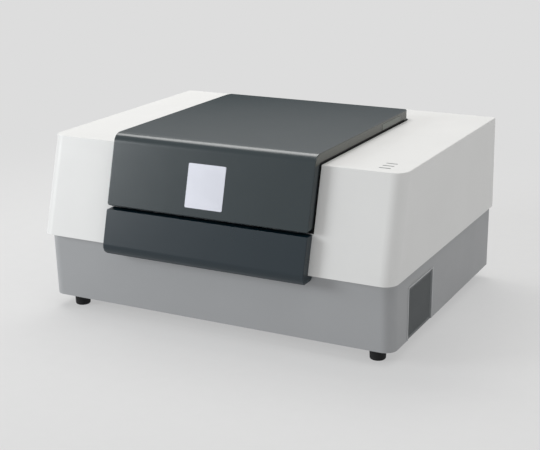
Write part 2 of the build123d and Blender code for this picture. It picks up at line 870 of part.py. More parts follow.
# Sample chamber: side walls, back wall and the ledge that carries the gasket
ledge_inner_half = rim_inner_half
ledge_window_low_z = lid_low_z + gasket_width
tub_half = chamber_half + chamber_wall
tub_top_z = top_z - housing_wall
chamber_back_y = opening_back_y + fit_gap
tub_blank = prism(
    [
        (slope_y(stage_z, housing_wall), stage_z),
        (slope_y(tub_top_z, housing_wall), tub_top_z),
        (tub_back_y, tub_top_z),
        (tub_back_y, stage_z),
    ],
    tub_half,
)
tub_space = prism(
    [
        (slope_y(stage_z, -lid_proud), stage_z),
        (slope_y(stage_z, -lid_proud), top_z),
        (chamber_back_y, top_z),
        (chamber_back_y, stage_z),
    ],
    chamber_half,
)
ledge_blank = prism(
    wrap_points(ledge_depth, ledge_depth + ledge_thickness, stage_z, chamber_back_y), chamber_half
)
chamber_window = span_box(
    (-ledge_inner_half, ledge_inner_half),
    (-overall_depth, chamber_back_y),
    (ledge_window_low_z, lid_z),
)
ledge_frame = ledge_blank.part - chamber_window
with BuildPart() as chamber_tub:
    add(tub_blank.part)
    add(tub_space.part, mode=Mode.SUBTRACT)
    add(ledge_frame)
    with BuildSketch(Plane.XZ.offset(-chamber_back_y)):
        with Locations(*bracket_screw_points):
            Circle(hinge_screw_radius)
    extrude(amount=-chamber_wall, mode=Mode.SUBTRACT)
chamber_tub.part.label = "chamber_tub"
export_step(chamber_tub.part, "parts/chamber_tub.step")

# Bracket screws: through the hinge brackets into the chamber's back wall
with BuildPart() as bracket_screws:
    with BuildSketch(Plane.XZ.offset(-bracket_plate_front_y)):
        with Locations(*bracket_screw_points):
            Circle(hinge_screw_radius)
    extrude(amount=-2 * chamber_wall)
    with BuildSketch(Plane.XZ.offset(-bracket_plate_front_y)):
        with Locations(*bracket_screw_points):
            Circle(bracket_screw_head_radius)
    extrude(amount=hinge_screw_radius)
bracket_screws.part.label = "bracket_screws"
export_step(bracket_screws.part, "parts/bracket_screws.step")

# Lid gasket: a foam frame on the ledge that the lid's rim meets
gasket_half = ledge_inner_half + gasket_width
gasket_low_z = panel_top_z + fit_gap
gasket_blank = prism(
    wrap_points(rim_depth + fit_gap, ledge_depth, gasket_low_z, hinge_y - knuckle_radius - 3),
    gasket_half,
)
gasket_frame = gasket_blank.part - chamber_window
with BuildPart() as lid_gasket:
    add(gasket_frame)
lid_gasket.part.label = "lid_gasket"
export_step(lid_gasket.part, "parts/lid_gasket.step")

# Stage deck: the plate that carries the chamber, with a rebate for the glass
deck_front_y = slope_y(stage_z, housing_wall) + fit_gap
deck_back_y = back_from_front(rear_crossmember + crossmember_thickness)
glass_low_y = back_from_front(glass_front)
glass_high_y = glass_low_y + glass_length
glass_place = (0, (glass_low_y + glass_high_y) / 2)
with BuildPart() as stage_deck:
    with BuildSketch(Plane.XY.offset(deck_z)):
        with Locations((0, (deck_front_y + deck_back_y) / 2)):
            Rectangle(crossmember_width, deck_back_y - deck_front_y)
        with Locations(glass_place):
            Rectangle(
                glass_width - 2 * glass_ledge, glass_length - 2 * glass_ledge, mode=Mode.SUBTRACT
            )
    extrude(amount=stage_thickness)
    with BuildSketch(Plane.XY.offset(stage_z)):
        with Locations(glass_place):
            RectangleRounded(glass_width + 2 * fit_gap, glass_length + 2 * fit_gap, 3)
    extrude(amount=-glass_thickness, mode=Mode.SUBTRACT)
stage_deck.part.label = "stage_deck"
export_step(stage_deck.part, "parts/stage_deck.step")

# Stage glass: the clear plate that the sample lies on
with BuildPart() as stage_glass:
    with BuildSketch(Plane.XY.offset(stage_z - glass_thickness)):
        with Locations(glass_place):
            RectangleRounded(glass_width, glass_length, 3)
    extrude(amount=glass_thickness)
stage_glass.part.label = "stage_glass"
export_step(stage_glass.part, "parts/stage_glass.step")

# Crossmembers: upright plates on the bottom plate that carry the deck and the rods
crossmember_hole_radius = 25
crossmember_hole_xs = (-105, -35, 35, 105)
with BuildPart() as crossmembers:
    for place in (front_crossmember, rear_crossmember):
        with BuildSketch(Plane.XZ.offset(-back_from_front(place))):
            with Locations((0, (floor_z + deck_z) / 2)):
                Rectangle(crossmember_width, deck_z - floor_z)
            with Locations(*[(x, (floor_z + deck_z) / 2) for x in crossmember_hole_xs]):
                Circle(crossmember_hole_radius, mode=Mode.SUBTRACT)
            with Locations((-rod_x, rod_z), (rod_x, rod_z)):
                Circle(rod_radius, mode=Mode.SUBTRACT)
        extrude(amount=-crossmember_thickness)
crossmembers.part.label = "crossmembers"
export_step(crossmembers.part, "parts/crossmembers.step")

# Guide rods: two ground shafts held in the crossmembers
with BuildPart() as guide_rods:
    with BuildSketch(Plane.XZ.offset(-back_from_front(front_crossmember))):
        with Locations((-rod_x, rod_z), (rod_x, rod_z)):
            Circle(rod_radius)
    extrude(amount=-(rear_crossmember - front_crossmember + crossmember_thickness))
guide_rods.part.label = "guide_rods"
export_step(guide_rods.part, "parts/guide_rods.step")

# Gantry: a beam on bushings that runs front to back along the rods
gantry_y = back_from_front(gantry_front + gantry_travel)
beam_half = rod_x + 14
beam_low_z = rod_z - 26
beam_thickness = 8
beam_top_z = beam_low_z + beam_thickness
beam_front_y = gantry_y - 20
beam_back_y = gantry_y + 28
block_half = 14
block_top_z = rod_z + 14
bushing_radius = rod_radius + 2
pulley_y = gantry_y + 20
head_pulley_x = rod_x - 25
head_pulley_radius = 5
belt_thickness = 1.2
belt_width = 5.4
flange_thickness = 1
pulley_pin_radius = 2
gantry_belt_x = -crossmember_width / 2 - 8
gantry_pulley_radius = 8
clamp_half = 8
gantry_belt_top_z = rod_z + gantry_pulley_radius + fit_gap
with BuildPart() as gantry_beam:
    with BuildSketch(Plane.XY.offset(beam_low_z)):
        with Locations((0, (beam_front_y + beam_back_y) / 2)):
            Rectangle(2 * beam_half, beam_back_y - beam_front_y)
        with Locations((head_pulley_x, pulley_y)):
            Circle(pulley_pin_radius + slide_gap, mode=Mode.SUBTRACT)
    extrude(amount=beam_thickness)
    with BuildSketch(Plane.XZ.offset(-beam_front_y)):
        with Locations((-rod_x, beam_low_z), (rod_x, beam_low_z)):
            Rectangle(2 * block_half, block_top_z - beam_low_z, align=(Align.CENTER, Align.MIN))
    extrude(amount=-2 * (gantry_y - beam_front_y))
    with BuildSketch(Plane.XZ.offset(-gantry_y)):
        with BuildLine():
            Polyline(
                (-beam_half, gantry_belt_top_z - 6),
                (gantry_belt_x - 5, gantry_belt_top_z - 6),
                (gantry_belt_x - 5, gantry_belt_top_z + 5),
                (-beam_half, gantry_belt_top_z + 5),
                close=True,
            )
        make_face()
        with Locations((gantry_belt_x, gantry_belt_top_z + belt_thickness / 2)):
            Rectangle(
                belt_width + slide_gap, belt_thickness + slide_gap, mode=Mode.SUBTRACT
            )
    extrude(amount=clamp_half, both=True)
    with BuildSketch(Plane.XZ.offset(-beam_front_y)):
        with Locations((-rod_x, rod_z), (rod_x, rod_z)):
            Circle(bushing_radius)
    extrude(amount=-2 * (gantry_y - beam_front_y), mode=Mode.SUBTRACT)
    with Locations((-head_pulley_x, pulley_y, beam_top_z)):
        Cylinder(pulley_pin_radius, 10, align=(Align.CENTER, Align.CENTER, Align.MIN))
gantry_beam.part.label = "gantry_beam"
export_step(gantry_beam.part, "parts/gantry_beam.step")

# Gantry bushings: bronze sleeves between the rods and the beam's end blocks
with BuildPart() as gantry_bushings:
    with BuildSketch(Plane.XZ.offset(-beam_front_y)):
        with Locations((-rod_x, rod_z), (rod_x, rod_z)):
            Circle(bushing_radius)
            Circle(rod_radius + running_gap, mode=Mode.SUBTRACT)
    extrude(amount=-2 * (gantry_y - beam_front_y))
gantry_bushings.part.label = "gantry_bushings"
export_step(gantry_bushings.part, "parts/gantry_bushings.step")



def belt_ring(span, radius):
    """The side outline of a closed belt round two pulleys of one radius."""
    SlotCenterToCenter(span, 2 * (radius + fit_gap + belt_thickness))
    SlotCenterToCenter(span, 2 * (radius + fit_gap), mode=Mode.SUBTRACT)


# Gantry belt: a toothed loop beside the left rod, gripped by the beam's clamp
idler_y = back_from_front(12)
motor_y = gantry_y + 22
with BuildPart() as gantry_belt:
    with BuildSketch(Plane.YZ.offset(gantry_belt_x)):
        with Locations(((idler_y + motor_y) / 2, rod_z)):
            belt_ring(motor_y - idler_y, gantry_pulley_radius)
    extrude(amount=belt_width / 2, both=True)
gantry_belt.part.label = "gantry_belt"
export_step(gantry_belt.part, "parts/gantry_belt.step")

# Gantry motor with its bracket on the rear crossmember, and the pulley on its shaft
motor_size = 42
motor_length = 40
motor_shaft_radius = 2.5
motor_face_x = gantry_belt_x - 11
bracket_thickness = 3
pulley_half = belt_width / 2 + fit_gap + flange_thickness
crossmember_back_y = back_from_front(rear_crossmember + crossmember_thickness)
crossmember_front_y = back_from_front(front_crossmember)
with BuildPart() as gantry_motor:
    with BuildSketch(Plane.YZ.offset(motor_face_x)) as motor_outline:
        with Locations((motor_y, rod_z)):
            Rectangle(motor_size, motor_size)
        chamfer(motor_outline.vertices(), length=4)
    extrude(amount=-motor_length)
    with BuildSketch(Plane.YZ.offset(motor_face_x)):
        with Locations((motor_y, rod_z)):
            Circle(11)
    extrude(amount=bracket_thickness)
    with BuildSketch(Plane.YZ.offset(motor_face_x + bracket_thickness)):
        with Locations((motor_y, rod_z)):
            Circle(motor_shaft_radius + running_gap)
    extrude(amount=-motor_length / 2, mode=Mode.SUBTRACT)
gantry_motor.part.label = "gantry_motor"
export_step(gantry_motor.part, "parts/gantry_motor.step")


def belt_bracket(hole_y, hole_radius, arm_end_y, crossmember_y, direction, pin_length):
    """Angle bracket: an arm beside the belt, a tab on a crossmember, a pin for an idler."""
    arm_height = motor_size + 6
    tab_y = crossmember_y + direction * bracket_thickness
    with BuildPart() as bracket:
        with BuildSketch(Plane.YZ.offset(motor_face_x)):
            with Locations(((arm_end_y + tab_y) / 2, rod_z)):
                RectangleRounded(abs(tab_y - arm_end_y), arm_height, 3)
            with Locations((hole_y, rod_z)):
                Circle(hole_radius, mode=Mode.SUBTRACT)
        extrude(amount=bracket_thickness)
        with BuildSketch(Plane.XZ.offset(-tab_y)):
            with Locations((motor_face_x, rod_z)):
                Rectangle(bracket_tab_length, arm_height - 8, align=(Align.MIN, Align.CENTER))
        extrude(amount=direction * bracket_thickness)
        if pin_length:
            with BuildSketch(Plane.YZ.offset(motor_face_x)):
                with Locations((hole_y, rod_z)):
                    Circle(hole_radius)
            extrude(amount=pin_length)
    return bracket


motor_boss_radius = 11
bracket_tab_length = 56
motor_bracket = belt_bracket(
    motor_y, motor_boss_radius, motor_y - motor_size / 2, crossmember_back_y, 1, 0
)
motor_bracket.part.label = "motor_bracket"
export_step(motor_bracket.part, "parts/motor_bracket.step")

idler_bracket = belt_bracket(
    idler_y,
    motor_shaft_radius,
    idler_y + 14,
    crossmember_front_y,
    -1,
    gantry_belt_x + pulley_half + 1 - motor_face_x,
)
idler_bracket.part.label = "idler_bracket"
export_step(idler_bracket.part, "parts/idler_bracket.step")


def flanged_pulley(plane, place, radius, bore, shaft_radius, shaft_length):
    """A pulley with two flanges, and a shaft on it where it turns with one."""
    with BuildPart() as pulley:
        with BuildSketch(plane):
            with Locations(place):
                Circle(radius)
        extrude(amount=pulley_half, both=True)
        for direction in (-1, 1):
            with BuildSketch(plane.offset(direction * pulley_half)):
                with Locations(place):
                    Circle(radius + belt_thickness + 0.5)
            extrude(amount=-direction * flange_thickness)
        if bore:
            with BuildSketch(plane.offset(-pulley_half)):
                with Locations(place):
                    Circle(bore)
            extrude(amount=2 * pulley_half, mode=Mode.SUBTRACT)
        if shaft_length:
            with BuildSketch(plane.offset(pulley_half)):
                with Locations(place):
                    Circle(shaft_radius)
            extrude(amount=-shaft_length)
    return pulley


gantry_belt_plane = Plane.YZ.offset(gantry_belt_x)
gantry_drive_pulley = flanged_pulley(
    gantry_belt_plane, (motor_y, rod_z), gantry_pulley_radius, 0, motor_shaft_radius, 24
)
gantry_drive_pulley.part.label = "gantry_drive_pulley"
export_step(gantry_drive_pulley.part, "parts/gantry_drive_pulley.step")

gantry_idler = flanged_pulley(
    gantry_belt_plane,
    (idler_y, rod_z),
    gantry_pulley_radius,
    motor_shaft_radius + running_gap,
    0,
    0,
)
gantry_idler.part.label = "gantry_idler"
export_step(gantry_idler.part, "parts/gantry_idler.step")

# Head rail: the cross slide's bar on the beam
rail_half = rod_x - 35
rail_width = 12
rail_height = 8
rail_top_z = beam_top_z + rail_height
with BuildPart() as head_rail:
    with BuildSketch(Plane.YZ):
        with Locations((gantry_y, beam_top_z)):
            Rectangle(rail_width, rail_height, align=(Align.CENTER, Align.MIN))
        for direction in (-1, 1):
            with Locations((gantry_y + direction * rail_width / 2, beam_top_z + rail_height / 2)):
                Circle(1.2, mode=Mode.SUBTRACT)
    extrude(amount=rail_half, both=True)
head_rail.part.label = "head_rail"
export_step(head_rail.part, "parts/head_rail.step")

# Head drive on the beam: motor below, pulleys and belt above
head_motor_size = 28
head_motor_length = 30
head_belt_z = beam_top_z + 5
head_belt_plane = Plane.XY.offset(head_belt_z)
with BuildPart() as head_motor:
    with BuildSketch(Plane.XY.offset(beam_low_z)) as motor_outline:
        with Locations((head_pulley_x, pulley_y)):
            Rectangle(head_motor_size, head_motor_size)
        chamfer(motor_outline.vertices(), length=3)
    extrude(amount=-head_motor_length)
    with Locations((head_pulley_x, pulley_y, beam_low_z)):
        Hole(pulley_pin_radius + running_gap, depth=12)
head_motor.part.label = "head_motor"
export_step(head_motor.part, "parts/head_motor.step")

head_drive_pulley = flanged_pulley(
    head_belt_plane,
    (head_pulley_x, pulley_y),
    head_pulley_radius,
    0,
    pulley_pin_radius,
    2 * pulley_half + beam_thickness + 8,
)
head_drive_pulley.part.label = "head_drive_pulley"
export_step(head_drive_pulley.part, "parts/head_drive_pulley.step")

head_idler = flanged_pulley(
    head_belt_plane,
    (-head_pulley_x, pulley_y),
    head_pulley_radius,
    pulley_pin_radius + running_gap,
    0,
    0,
)
head_idler.part.label = "head_idler"
export_step(head_idler.part, "parts/head_idler.step")

with BuildPart() as head_belt:
    with BuildSketch(head_belt_plane):
        with Locations((0, pulley_y)):
            belt_ring(2 * head_pulley_x, head_pulley_radius)
    extrude(amount=belt_width / 2, both=True)
head_belt.part.label = "head_belt"
export_step(head_belt.part, "parts/head_belt.step")

# Head carriage: a saddle on the rail with a belt clamp behind and a plate in front
head_x = -head_travel / 2
saddle_half = 20
saddle_front_y = gantry_y - 11
saddle_back_y = gantry_y + 11
saddle_top_z = rail_top_z + 6
optical_y = gantry_y - optical_offset
plate_back_y = gantry_y - 26
plate_front_y = plate_back_y - 4
plate_half = 18
belt_front_y = pulley_y - head_pulley_radius - fit_gap - belt_thickness / 2
with BuildPart() as head_carriage:
    with BuildSketch(Plane.YZ.offset(head_x)):
        with BuildLine():
            Polyline(
                (saddle_back_y, beam_top_z + slide_gap),
                (saddle_back_y, saddle_top_z),
                (saddle_front_y, saddle_top_z),
                (saddle_front_y, beam_top_z + slide_gap),
                close=True,
            )
        make_face()
        with Locations((gantry_y, rail_top_z + fit_gap)):
            Rectangle(
                rail_width + 2 * fit_gap,
                2 * rail_height,
                align=(Align.CENTER, Align.MAX),
                mode=Mode.SUBTRACT,
            )
    extrude(amount=saddle_half, both=True)
    with BuildSketch(Plane.YZ.offset(head_x)):
        with Locations((saddle_back_y, head_belt_z)):
            Rectangle(8, 2 * pulley_half, align=(Align.MIN, Align.CENTER))
        with Locations((belt_front_y, head_belt_z)):
            Rectangle(
                belt_thickness + slide_gap, belt_width + slide_gap, mode=Mode.SUBTRACT
            )
    extrude(amount=clamp_half, both=True)
    with BuildSketch(Plane.YZ.offset(head_x)):
        with BuildLine():
            Polyline(
                (saddle_front_y, saddle_top_z),
                (saddle_front_y, saddle_top_z - 5),
                (plate_back_y, saddle_top_z - 5),
                (plate_back_y, rod_z - 50),
                (plate_front_y, rod_z - 50),
                (plate_front_y, rod_z + 20),
                (plate_back_y, rod_z + 20),
                (plate_back_y, saddle_top_z),
                close=True,
            )
        make_face()
    extrude(amount=plate_half, both=True)
head_carriage.part.label = "head_carriage"
export_step(head_carriage.part, "parts/head_carriage.step")

# Optical head: the body on the plate's front, with the lens above and the wheel below
wheel_radius = 31
wheel_offset = 20
wheel_thickness = 4
wheel_z = rod_z - 15
wheel_y = optical_y - wheel_offset
filter_radius = 8
filter_count = 4
body_low_z = wheel_z + wheel_thickness + 3
body_top_z = body_low_z + 34
lens_tip_z = deck_z - 3
with BuildPart() as head_body:
    with BuildSketch(Plane.XY.offset(body_low_z)):
        with Locations((head_x, plate_front_y)):
            Rectangle(2 * plate_half + 2, 28, align=(Align.CENTER, Align.MAX))
    extrude(amount=body_top_z - body_low_z)
    fillet(upright_edges(head_body).group_by(Axis.Y)[0], radius=5)
    with BuildSketch(Plane.XY.offset(body_low_z)):
        with Locations((head_x, wheel_y)):
            Circle(9)
            Rectangle(18, 14, align=(Align.CENTER, Align.MIN))
            Circle(2, mode=Mode.SUBTRACT)
    extrude(amount=3)
    with BuildSketch(Plane.XY.offset(body_low_z)):
        with Locations((head_x, optical_y)):
            Circle(9)
    extrude(amount=body_top_z - body_low_z, mode=Mode.SUBTRACT)
head_body.part.label = "head_body"
export_step(head_body.part, "parts/head_body.step")

# Objective barrel: turned, stepped in towards the stage
with BuildPart() as objective_barrel:
    with BuildSketch(Plane.XZ.offset(-optical_y)):
        with BuildLine():
            Polyline(
                (head_x + 9, body_top_z),
                (head_x + 14, body_top_z),
                (head_x + 14, body_top_z + 12),
                (head_x + 11.5, lens_tip_z - 3),
                (head_x + 11.5, lens_tip_z),
                (head_x + 9, lens_tip_z),
                close=True,
            )
        make_face()
    revolve(axis=Axis((head_x, optical_y, 0), (0, 0, 1)))
objective_barrel.part.label = "objective_barrel"
export_step(objective_barrel.part, "parts/objective_barrel.step")

# Objective glass: a rounded lens seated in the barrel's mouth
lens_radius = 9
lens_thickness = 4
with BuildPart() as objective_glass:
    with Locations((head_x, optical_y, lens_tip_z - lens_thickness)):
        Cylinder(lens_radius, lens_thickness)
    fillet(objective_glass.edges().filter_by(GeomType.CIRCLE), radius=lens_thickness / 3)
objective_glass.part.label = "objective_glass"
export_step(objective_glass.part, "parts/objective_glass.step")

# Filter wheel: a disc with one filter on the optical axis, on a short spindle
with BuildPart() as filter_wheel:
    with BuildSketch(Plane.XY.offset(wheel_z)):
        with Locations((head_x, wheel_y)):
            Circle(wheel_radius)
            with PolarLocations(wheel_offset, filter_count):
                Circle(filter_radius, mode=Mode.SUBTRACT)
    extrude(amount=wheel_thickness)
    with Locations((head_x, wheel_y, wheel_z + wheel_thickness)):
        Cylinder(5, 2, align=(Align.CENTER, Align.CENTER, Align.MIN))
        Cylinder(1.5, 14, align=(Align.CENTER, Align.CENTER, Align.MIN))
filter_wheel.part.label = "filter_wheel"
export_step(filter_wheel.part, "parts/filter_wheel.step")

# Emission filters: four coated glass discs in the wheel
with BuildPart() as emission_filters:
    with BuildSketch(Plane.XY.offset(wheel_z + 0.5)):
        with Locations((head_x, wheel_y)):
            with PolarLocations(wheel_offset, filter_count):
                Circle(filter_radius)
    extrude(amount=wheel_thickness - 1)
emission_filters.part.label = "emission_filters"
export_step(emission_filters.part, "parts/emission_filters.step")

# Filter motor: stands on the head body's foot and turns the wheel's spindle
with BuildPart() as filter_motor:
    with BuildSketch(Plane.XY.offset(body_low_z + 3)):
        with Locations((head_x, wheel_y)):
            Circle(8)
    extrude(amount=20)
    with BuildSketch(Plane.XY.offset(body_low_z + 3)):
        with Locations((head_x, wheel_y)):
            Circle(1.5 + running_gap)
    extrude(amount=10, mode=Mode.SUBTRACT)
filter_motor.part.label = "filter_motor"
export_step(filter_motor.part, "parts/filter_motor.step")

# Detector: a light-tight tube under the wheel with its foot on the plate
with BuildPart() as detector_module:
    with BuildSketch(Plane.XY.offset(wheel_z - 2)):
        with Locations((head_x, optical_y)):
            Circle(11)
    extrude(amount=-40)
    with BuildSketch(Plane.XY.offset(wheel_z - 12)):
        with Locations((head_x, plate_front_y)):
            Rectangle(16, 14, align=(Align.CENTER, Align.MAX))
    extrude(amount=-20)
    with BuildSketch(Plane.XY.offset(wheel_z - 2)):
        with Locations((head_x, optical_y)):
            Circle(filter_radius)
    extrude(amount=-4, mode=Mode.SUBTRACT)
detector_module.part.label = "detector_module"
export_step(detector_module.part, "parts/detector_module.step")

# Excitation module: a finned light source on the head body's right side
laser_x = head_x + plate_half + 1
laser_z = (body_low_z + body_top_z) / 2
with BuildPart() as excitation_module:
    with BuildSketch(Plane.YZ.offset(laser_x)):
        with Locations((optical_y, laser_z)):
            Circle(6)
    extrude(amount=22)
    for number in range(5):
        with BuildSketch(Plane.YZ.offset(laser_x + 2 + 4 * number)):
            with Locations((optical_y, laser_z)):
                Circle(9)
        extrude(amount=2)
excitation_module.part.label = "excitation_module"
export_step(excitation_module.part, "parts/excitation_module.step")

# Side vent: a ribbed grille in the casing's right wall
vent_outer_x = base_half - vent_recess
vent_middle = ((vent_low_y + vent_high_y) / 2, (base_z + vent_top_z) / 2)
vent_slot_count = int((vent_length - 2 * vent_rim) / vent_slot_pitch)
with BuildPart() as side_vent:
    with BuildSketch(Plane.YZ.offset(vent_outer_x)):
        with Locations(vent_middle):
            Rectangle(vent_length - 2 * fit_gap, vent_height - 2 * fit_gap)
            with GridLocations(vent_slot_pitch, 1, vent_slot_count, 1):
                Rectangle(vent_slot_width, vent_height - 2 * vent_rim, mode=Mode.SUBTRACT)
    extrude(amount=-vent_thickness)
side_vent.part.label = "side_vent"
export_step(side_vent.part, "parts/side_vent.step")

# Indicator windows: three clear light guides in the white top
indicator_places = [(indicator_x, y) for y in indicator_ys]
light_guide_drop = 6
with BuildPart() as indicator_windows:
    with BuildSketch(Plane.XY.offset(top_z - indicator_recess)):
        with Locations(*indicator_places):
            SlotOverall(indicator_length - fit_gap, indicator_width - fit_gap)
    extrude(amount=indicator_recess - housing_wall)
    with BuildSketch(Plane.XY.offset(top_z - housing_wall)):
        with Locations(*indicator_places):
            RectangleRounded(indicator_length + 2.5, indicator_width + 2, 1)
    extrude(amount=-1)
    with BuildSketch(Plane.XY.offset(top_z - housing_wall)):
        with Locations(*indicator_places):
            Circle(indicator_width / 2)
    extrude(amount=-light_guide_drop)
indicator_windows.part.label = "indicator_windows"
export_step(indicator_windows.part, "parts/indicator_windows.step")

# Indicator board: hangs from the housing's two posts with one lamp under each window
board_top_z = top_z - housing_wall - board_gap
lamp_size = 3
with BuildPart() as indicator_board:
    with BuildSketch(Plane.XY.offset(board_top_z)):
        with Locations((indicator_x, (indicator_ys[0] + indicator_ys[-1]) / 2)):
            Rectangle(16, indicator_ys[-1] - indicator_ys[0] + 2 * board_reach + 8)
    extrude(amount=-board_thickness)
    with BuildSketch(Plane.XY.offset(board_top_z)):
        with Locations(*indicator_places):
            Rectangle(lamp_size, lamp_size)
    extrude(amount=lamp_size / 2)
indicator_board.part.label = "indicator_board"
export_step(indicator_board.part, "parts/indicator_board.step")

# Rear panel: a sheet inside the casing's back window, cut out for its fittings
wall_inner_y = base_back_y - base_wall
rear_panel_back_y = wall_inner_y - sheet_thickness
entry_x = rear_left + 57
entry_width = 48
entry_height = 24
usb_x = rear_left + 142
usb_width = 12
usb_height = 11
fan_x = rear_right - 70
fan_size = 80
fan_bore = 38.5
fan_hole_places = [
    (fan_x + across * 35.75, rear_middle_z + up * 35.75) for across in (-1, 1) for up in (-1, 1)
]
fan_depth = 25
with BuildPart() as rear_panel:
    with BuildSketch(Plane.XZ.offset(-rear_panel_back_y)):
        with Locations(((rear_left + rear_right) / 2, rear_middle_z)):
            Rectangle(rear_right - rear_left + 2 * rear_overlap, rear_top_z - rear_low_z + 8)
        with Locations((entry_x, rear_middle_z)):
            Rectangle(entry_width + fit_gap, entry_height + fit_gap, mode=Mode.SUBTRACT)
        with Locations((usb_x, rear_middle_z)):
            Rectangle(usb_width + fit_gap, usb_height + fit_gap, mode=Mode.SUBTRACT)
        with Locations((fan_x, rear_middle_z)):
            Circle(fan_bore, mode=Mode.SUBTRACT)
        with Locations(*rear_screw_places, *fan_hole_places):
            Circle(rear_screw_radius, mode=Mode.SUBTRACT)
    extrude(amount=-sheet_thickness)
rear_panel.part.label = "rear_panel"
export_step(rear_panel.part, "parts/rear_panel.step")

# Power entry: a mains inlet with a rocker seat beside it, in one moulding
entry_flange = 2
entry_depth = 27
inlet_x = entry_x - 9
inlet_mouth = (22, 15)
inlet_depth = 17
rocker_x = entry_x + 15
rocker_width = 12.4
rocker_radius = 8
rocker_seat_height = 19
rocker_pivot_radius = 1.2
entry_mouth_y = wall_inner_y + entry_flange
rocker_pivot_y = entry_mouth_y - rocker_radius + 2
rocker_seat_depth = entry_mouth_y - rocker_pivot_y + rocker_radius + slide_gap
rocker_pivot_half = rocker_width / 2 + 1.5
with BuildPart() as power_entry:
    with BuildSketch(Plane.XZ.offset(-wall_inner_y)):
        with Locations((entry_x, rear_middle_z)):
            RectangleRounded(entry_width + 10, entry_height + 4, 3)
    extrude(amount=-entry_flange)
    with BuildSketch(Plane.XZ.offset(-wall_inner_y)):
        with Locations((entry_x, rear_middle_z)):
            Rectangle(entry_width, entry_height)
    extrude(amount=entry_depth)
    with BuildSketch(Plane.XZ.offset(-entry_mouth_y)) as inlet_outline:
        with Locations((inlet_x, rear_middle_z)):
            Rectangle(*inlet_mouth)
        chamfer(inlet_outline.vertices().group_by(Axis.Y)[-1], length=4)
    extrude(amount=inlet_depth, mode=Mode.SUBTRACT)
    with BuildSketch(Plane.XZ.offset(-entry_mouth_y)):
        with Locations((rocker_x, rear_middle_z)):
            Rectangle(rocker_width + slide_gap, rocker_seat_height)
    extrude(amount=rocker_seat_depth, mode=Mode.SUBTRACT)
    with BuildSketch(Plane.YZ.offset(rocker_x)):
        with Locations((rocker_pivot_y, rear_middle_z)):
            Circle(rocker_pivot_radius + running_gap)
    extrude(amount=rocker_pivot_half + fit_gap, both=True, mode=Mode.SUBTRACT)
power_entry.part.label = "power_entry"
export_step(power_entry.part, "parts/power_entry.step")

# Inlet pins: three blades standing on the inlet's floor
inlet_pin_length = inlet_depth - 5
inlet_floor_y = entry_mouth_y - inlet_depth
with BuildPart() as inlet_pins:
    with BuildSketch(Plane.XZ.offset(-inlet_floor_y)):
        with Locations(
            (inlet_x - 7, rear_middle_z - 2),
            (inlet_x, rear_middle_z + 2),
            (inlet_x + 7, rear_middle_z - 2),
        ):
            Rectangle(2, 4)
    extrude(amount=-inlet_pin_length)
inlet_pins.part.label = "inlet_pins"
export_step(inlet_pins.part, "parts/inlet_pins.step")

# Power rocker: turns on two stub pins in its seat
rocker_tilt = 20
rocker_face_y = rocker_pivot_y + rocker_radius / 2
rocker_rise = rocker_seat_height * tan(radians(rocker_tilt))
rocker_clear_y = rocker_face_y + rocker_seat_height
with BuildPart() as power_rocker:
    with BuildSketch(Plane.YZ.offset(rocker_x)):
        with Locations((rocker_pivot_y, rear_middle_z)):
            Circle(rocker_radius)
        with BuildLine():
            Polyline(
                (rocker_face_y, rear_middle_z),
                (rocker_face_y, rear_middle_z + rocker_seat_height),
                (rocker_clear_y, rear_middle_z + rocker_seat_height),
                (rocker_clear_y, rear_middle_z - rocker_seat_height),
                (rocker_face_y + rocker_rise, rear_middle_z - rocker_seat_height),
                close=True,
            )
        make_face(mode=Mode.SUBTRACT)
    extrude(amount=rocker_width / 2, both=True)
    with BuildSketch(Plane.YZ.offset(rocker_x)):
        with Locations((rocker_pivot_y, rear_middle_z)):
            Circle(rocker_pivot_radius)
    extrude(amount=rocker_pivot_half, both=True)
power_rocker.part.label = "power_rocker"
export_step(power_rocker.part, "parts/power_rocker.step")

# Data socket: a square shell with a tongue set back in it
socket_mouth = (8.5, 7.8)
with BuildPart() as data_socket:
    with BuildSketch(Plane.XZ.offset(-wall_inner_y)):
        with Locations((usb_x, rear_middle_z)):
            Rectangle(usb_width, usb_height)
    extrude(amount=16)
    with BuildSketch(Plane.XZ.offset(-rear_panel_back_y)):
        with Locations((usb_x, rear_middle_z)):
            Rectangle(usb_width + 8, usb_height + 6)
    extrude(amount=2)
    with BuildSketch(Plane.XZ.offset(-wall_inner_y)):
        with Locations((usb_x, rear_middle_z)):
            Rectangle(*socket_mouth)
            Rectangle(5.6, 3.2, mode=Mode.SUBTRACT)
    extrude(amount=9, mode=Mode.SUBTRACT)
    with BuildSketch(Plane.XZ.offset(-wall_inner_y)):
        with Locations((usb_x, rear_middle_z)):
            Rectangle(*socket_mouth)
    extrude(amount=4.5, mode=Mode.SUBTRACT)
data_socket.part.label = "data_socket"
export_step(data_socket.part, "parts/data_socket.step")

# Fan: a square frame with a spider and a spindle, a seven-bladed rotor and a guard
fan_spindle_radius = 1.5
fan_hub_radius = 17
fan_tip_radius = 37
fan_spider_depth = 4
fan_front_y = rear_panel_back_y - fan_depth
fan_place = (fan_x, rear_middle_z)
with BuildPart() as fan_frame:
    with BuildSketch(Plane.XZ.offset(-rear_panel_back_y)):
        with Locations(fan_place):
            RectangleRounded(fan_size, fan_size, 4)
            Circle(fan_bore, mode=Mode.SUBTRACT)
        with Locations(*fan_hole_places):
            Circle(rear_screw_radius, mode=Mode.SUBTRACT)
    extrude(amount=fan_depth)
    with BuildSketch(Plane.XZ.offset(-fan_front_y)):
        with Locations(fan_place):
            Circle(fan_hub_radius)
            for turn in (0, 90):
                Rectangle(2 * fan_bore + 0.4, 5, rotation=turn + 20)
    extrude(amount=-fan_spider_depth)
    with BuildSketch(Plane.XZ.offset(-fan_front_y)):
        with Locations(fan_place):
            Circle(fan_spindle_radius)
    extrude(amount=-fan_depth + 6)
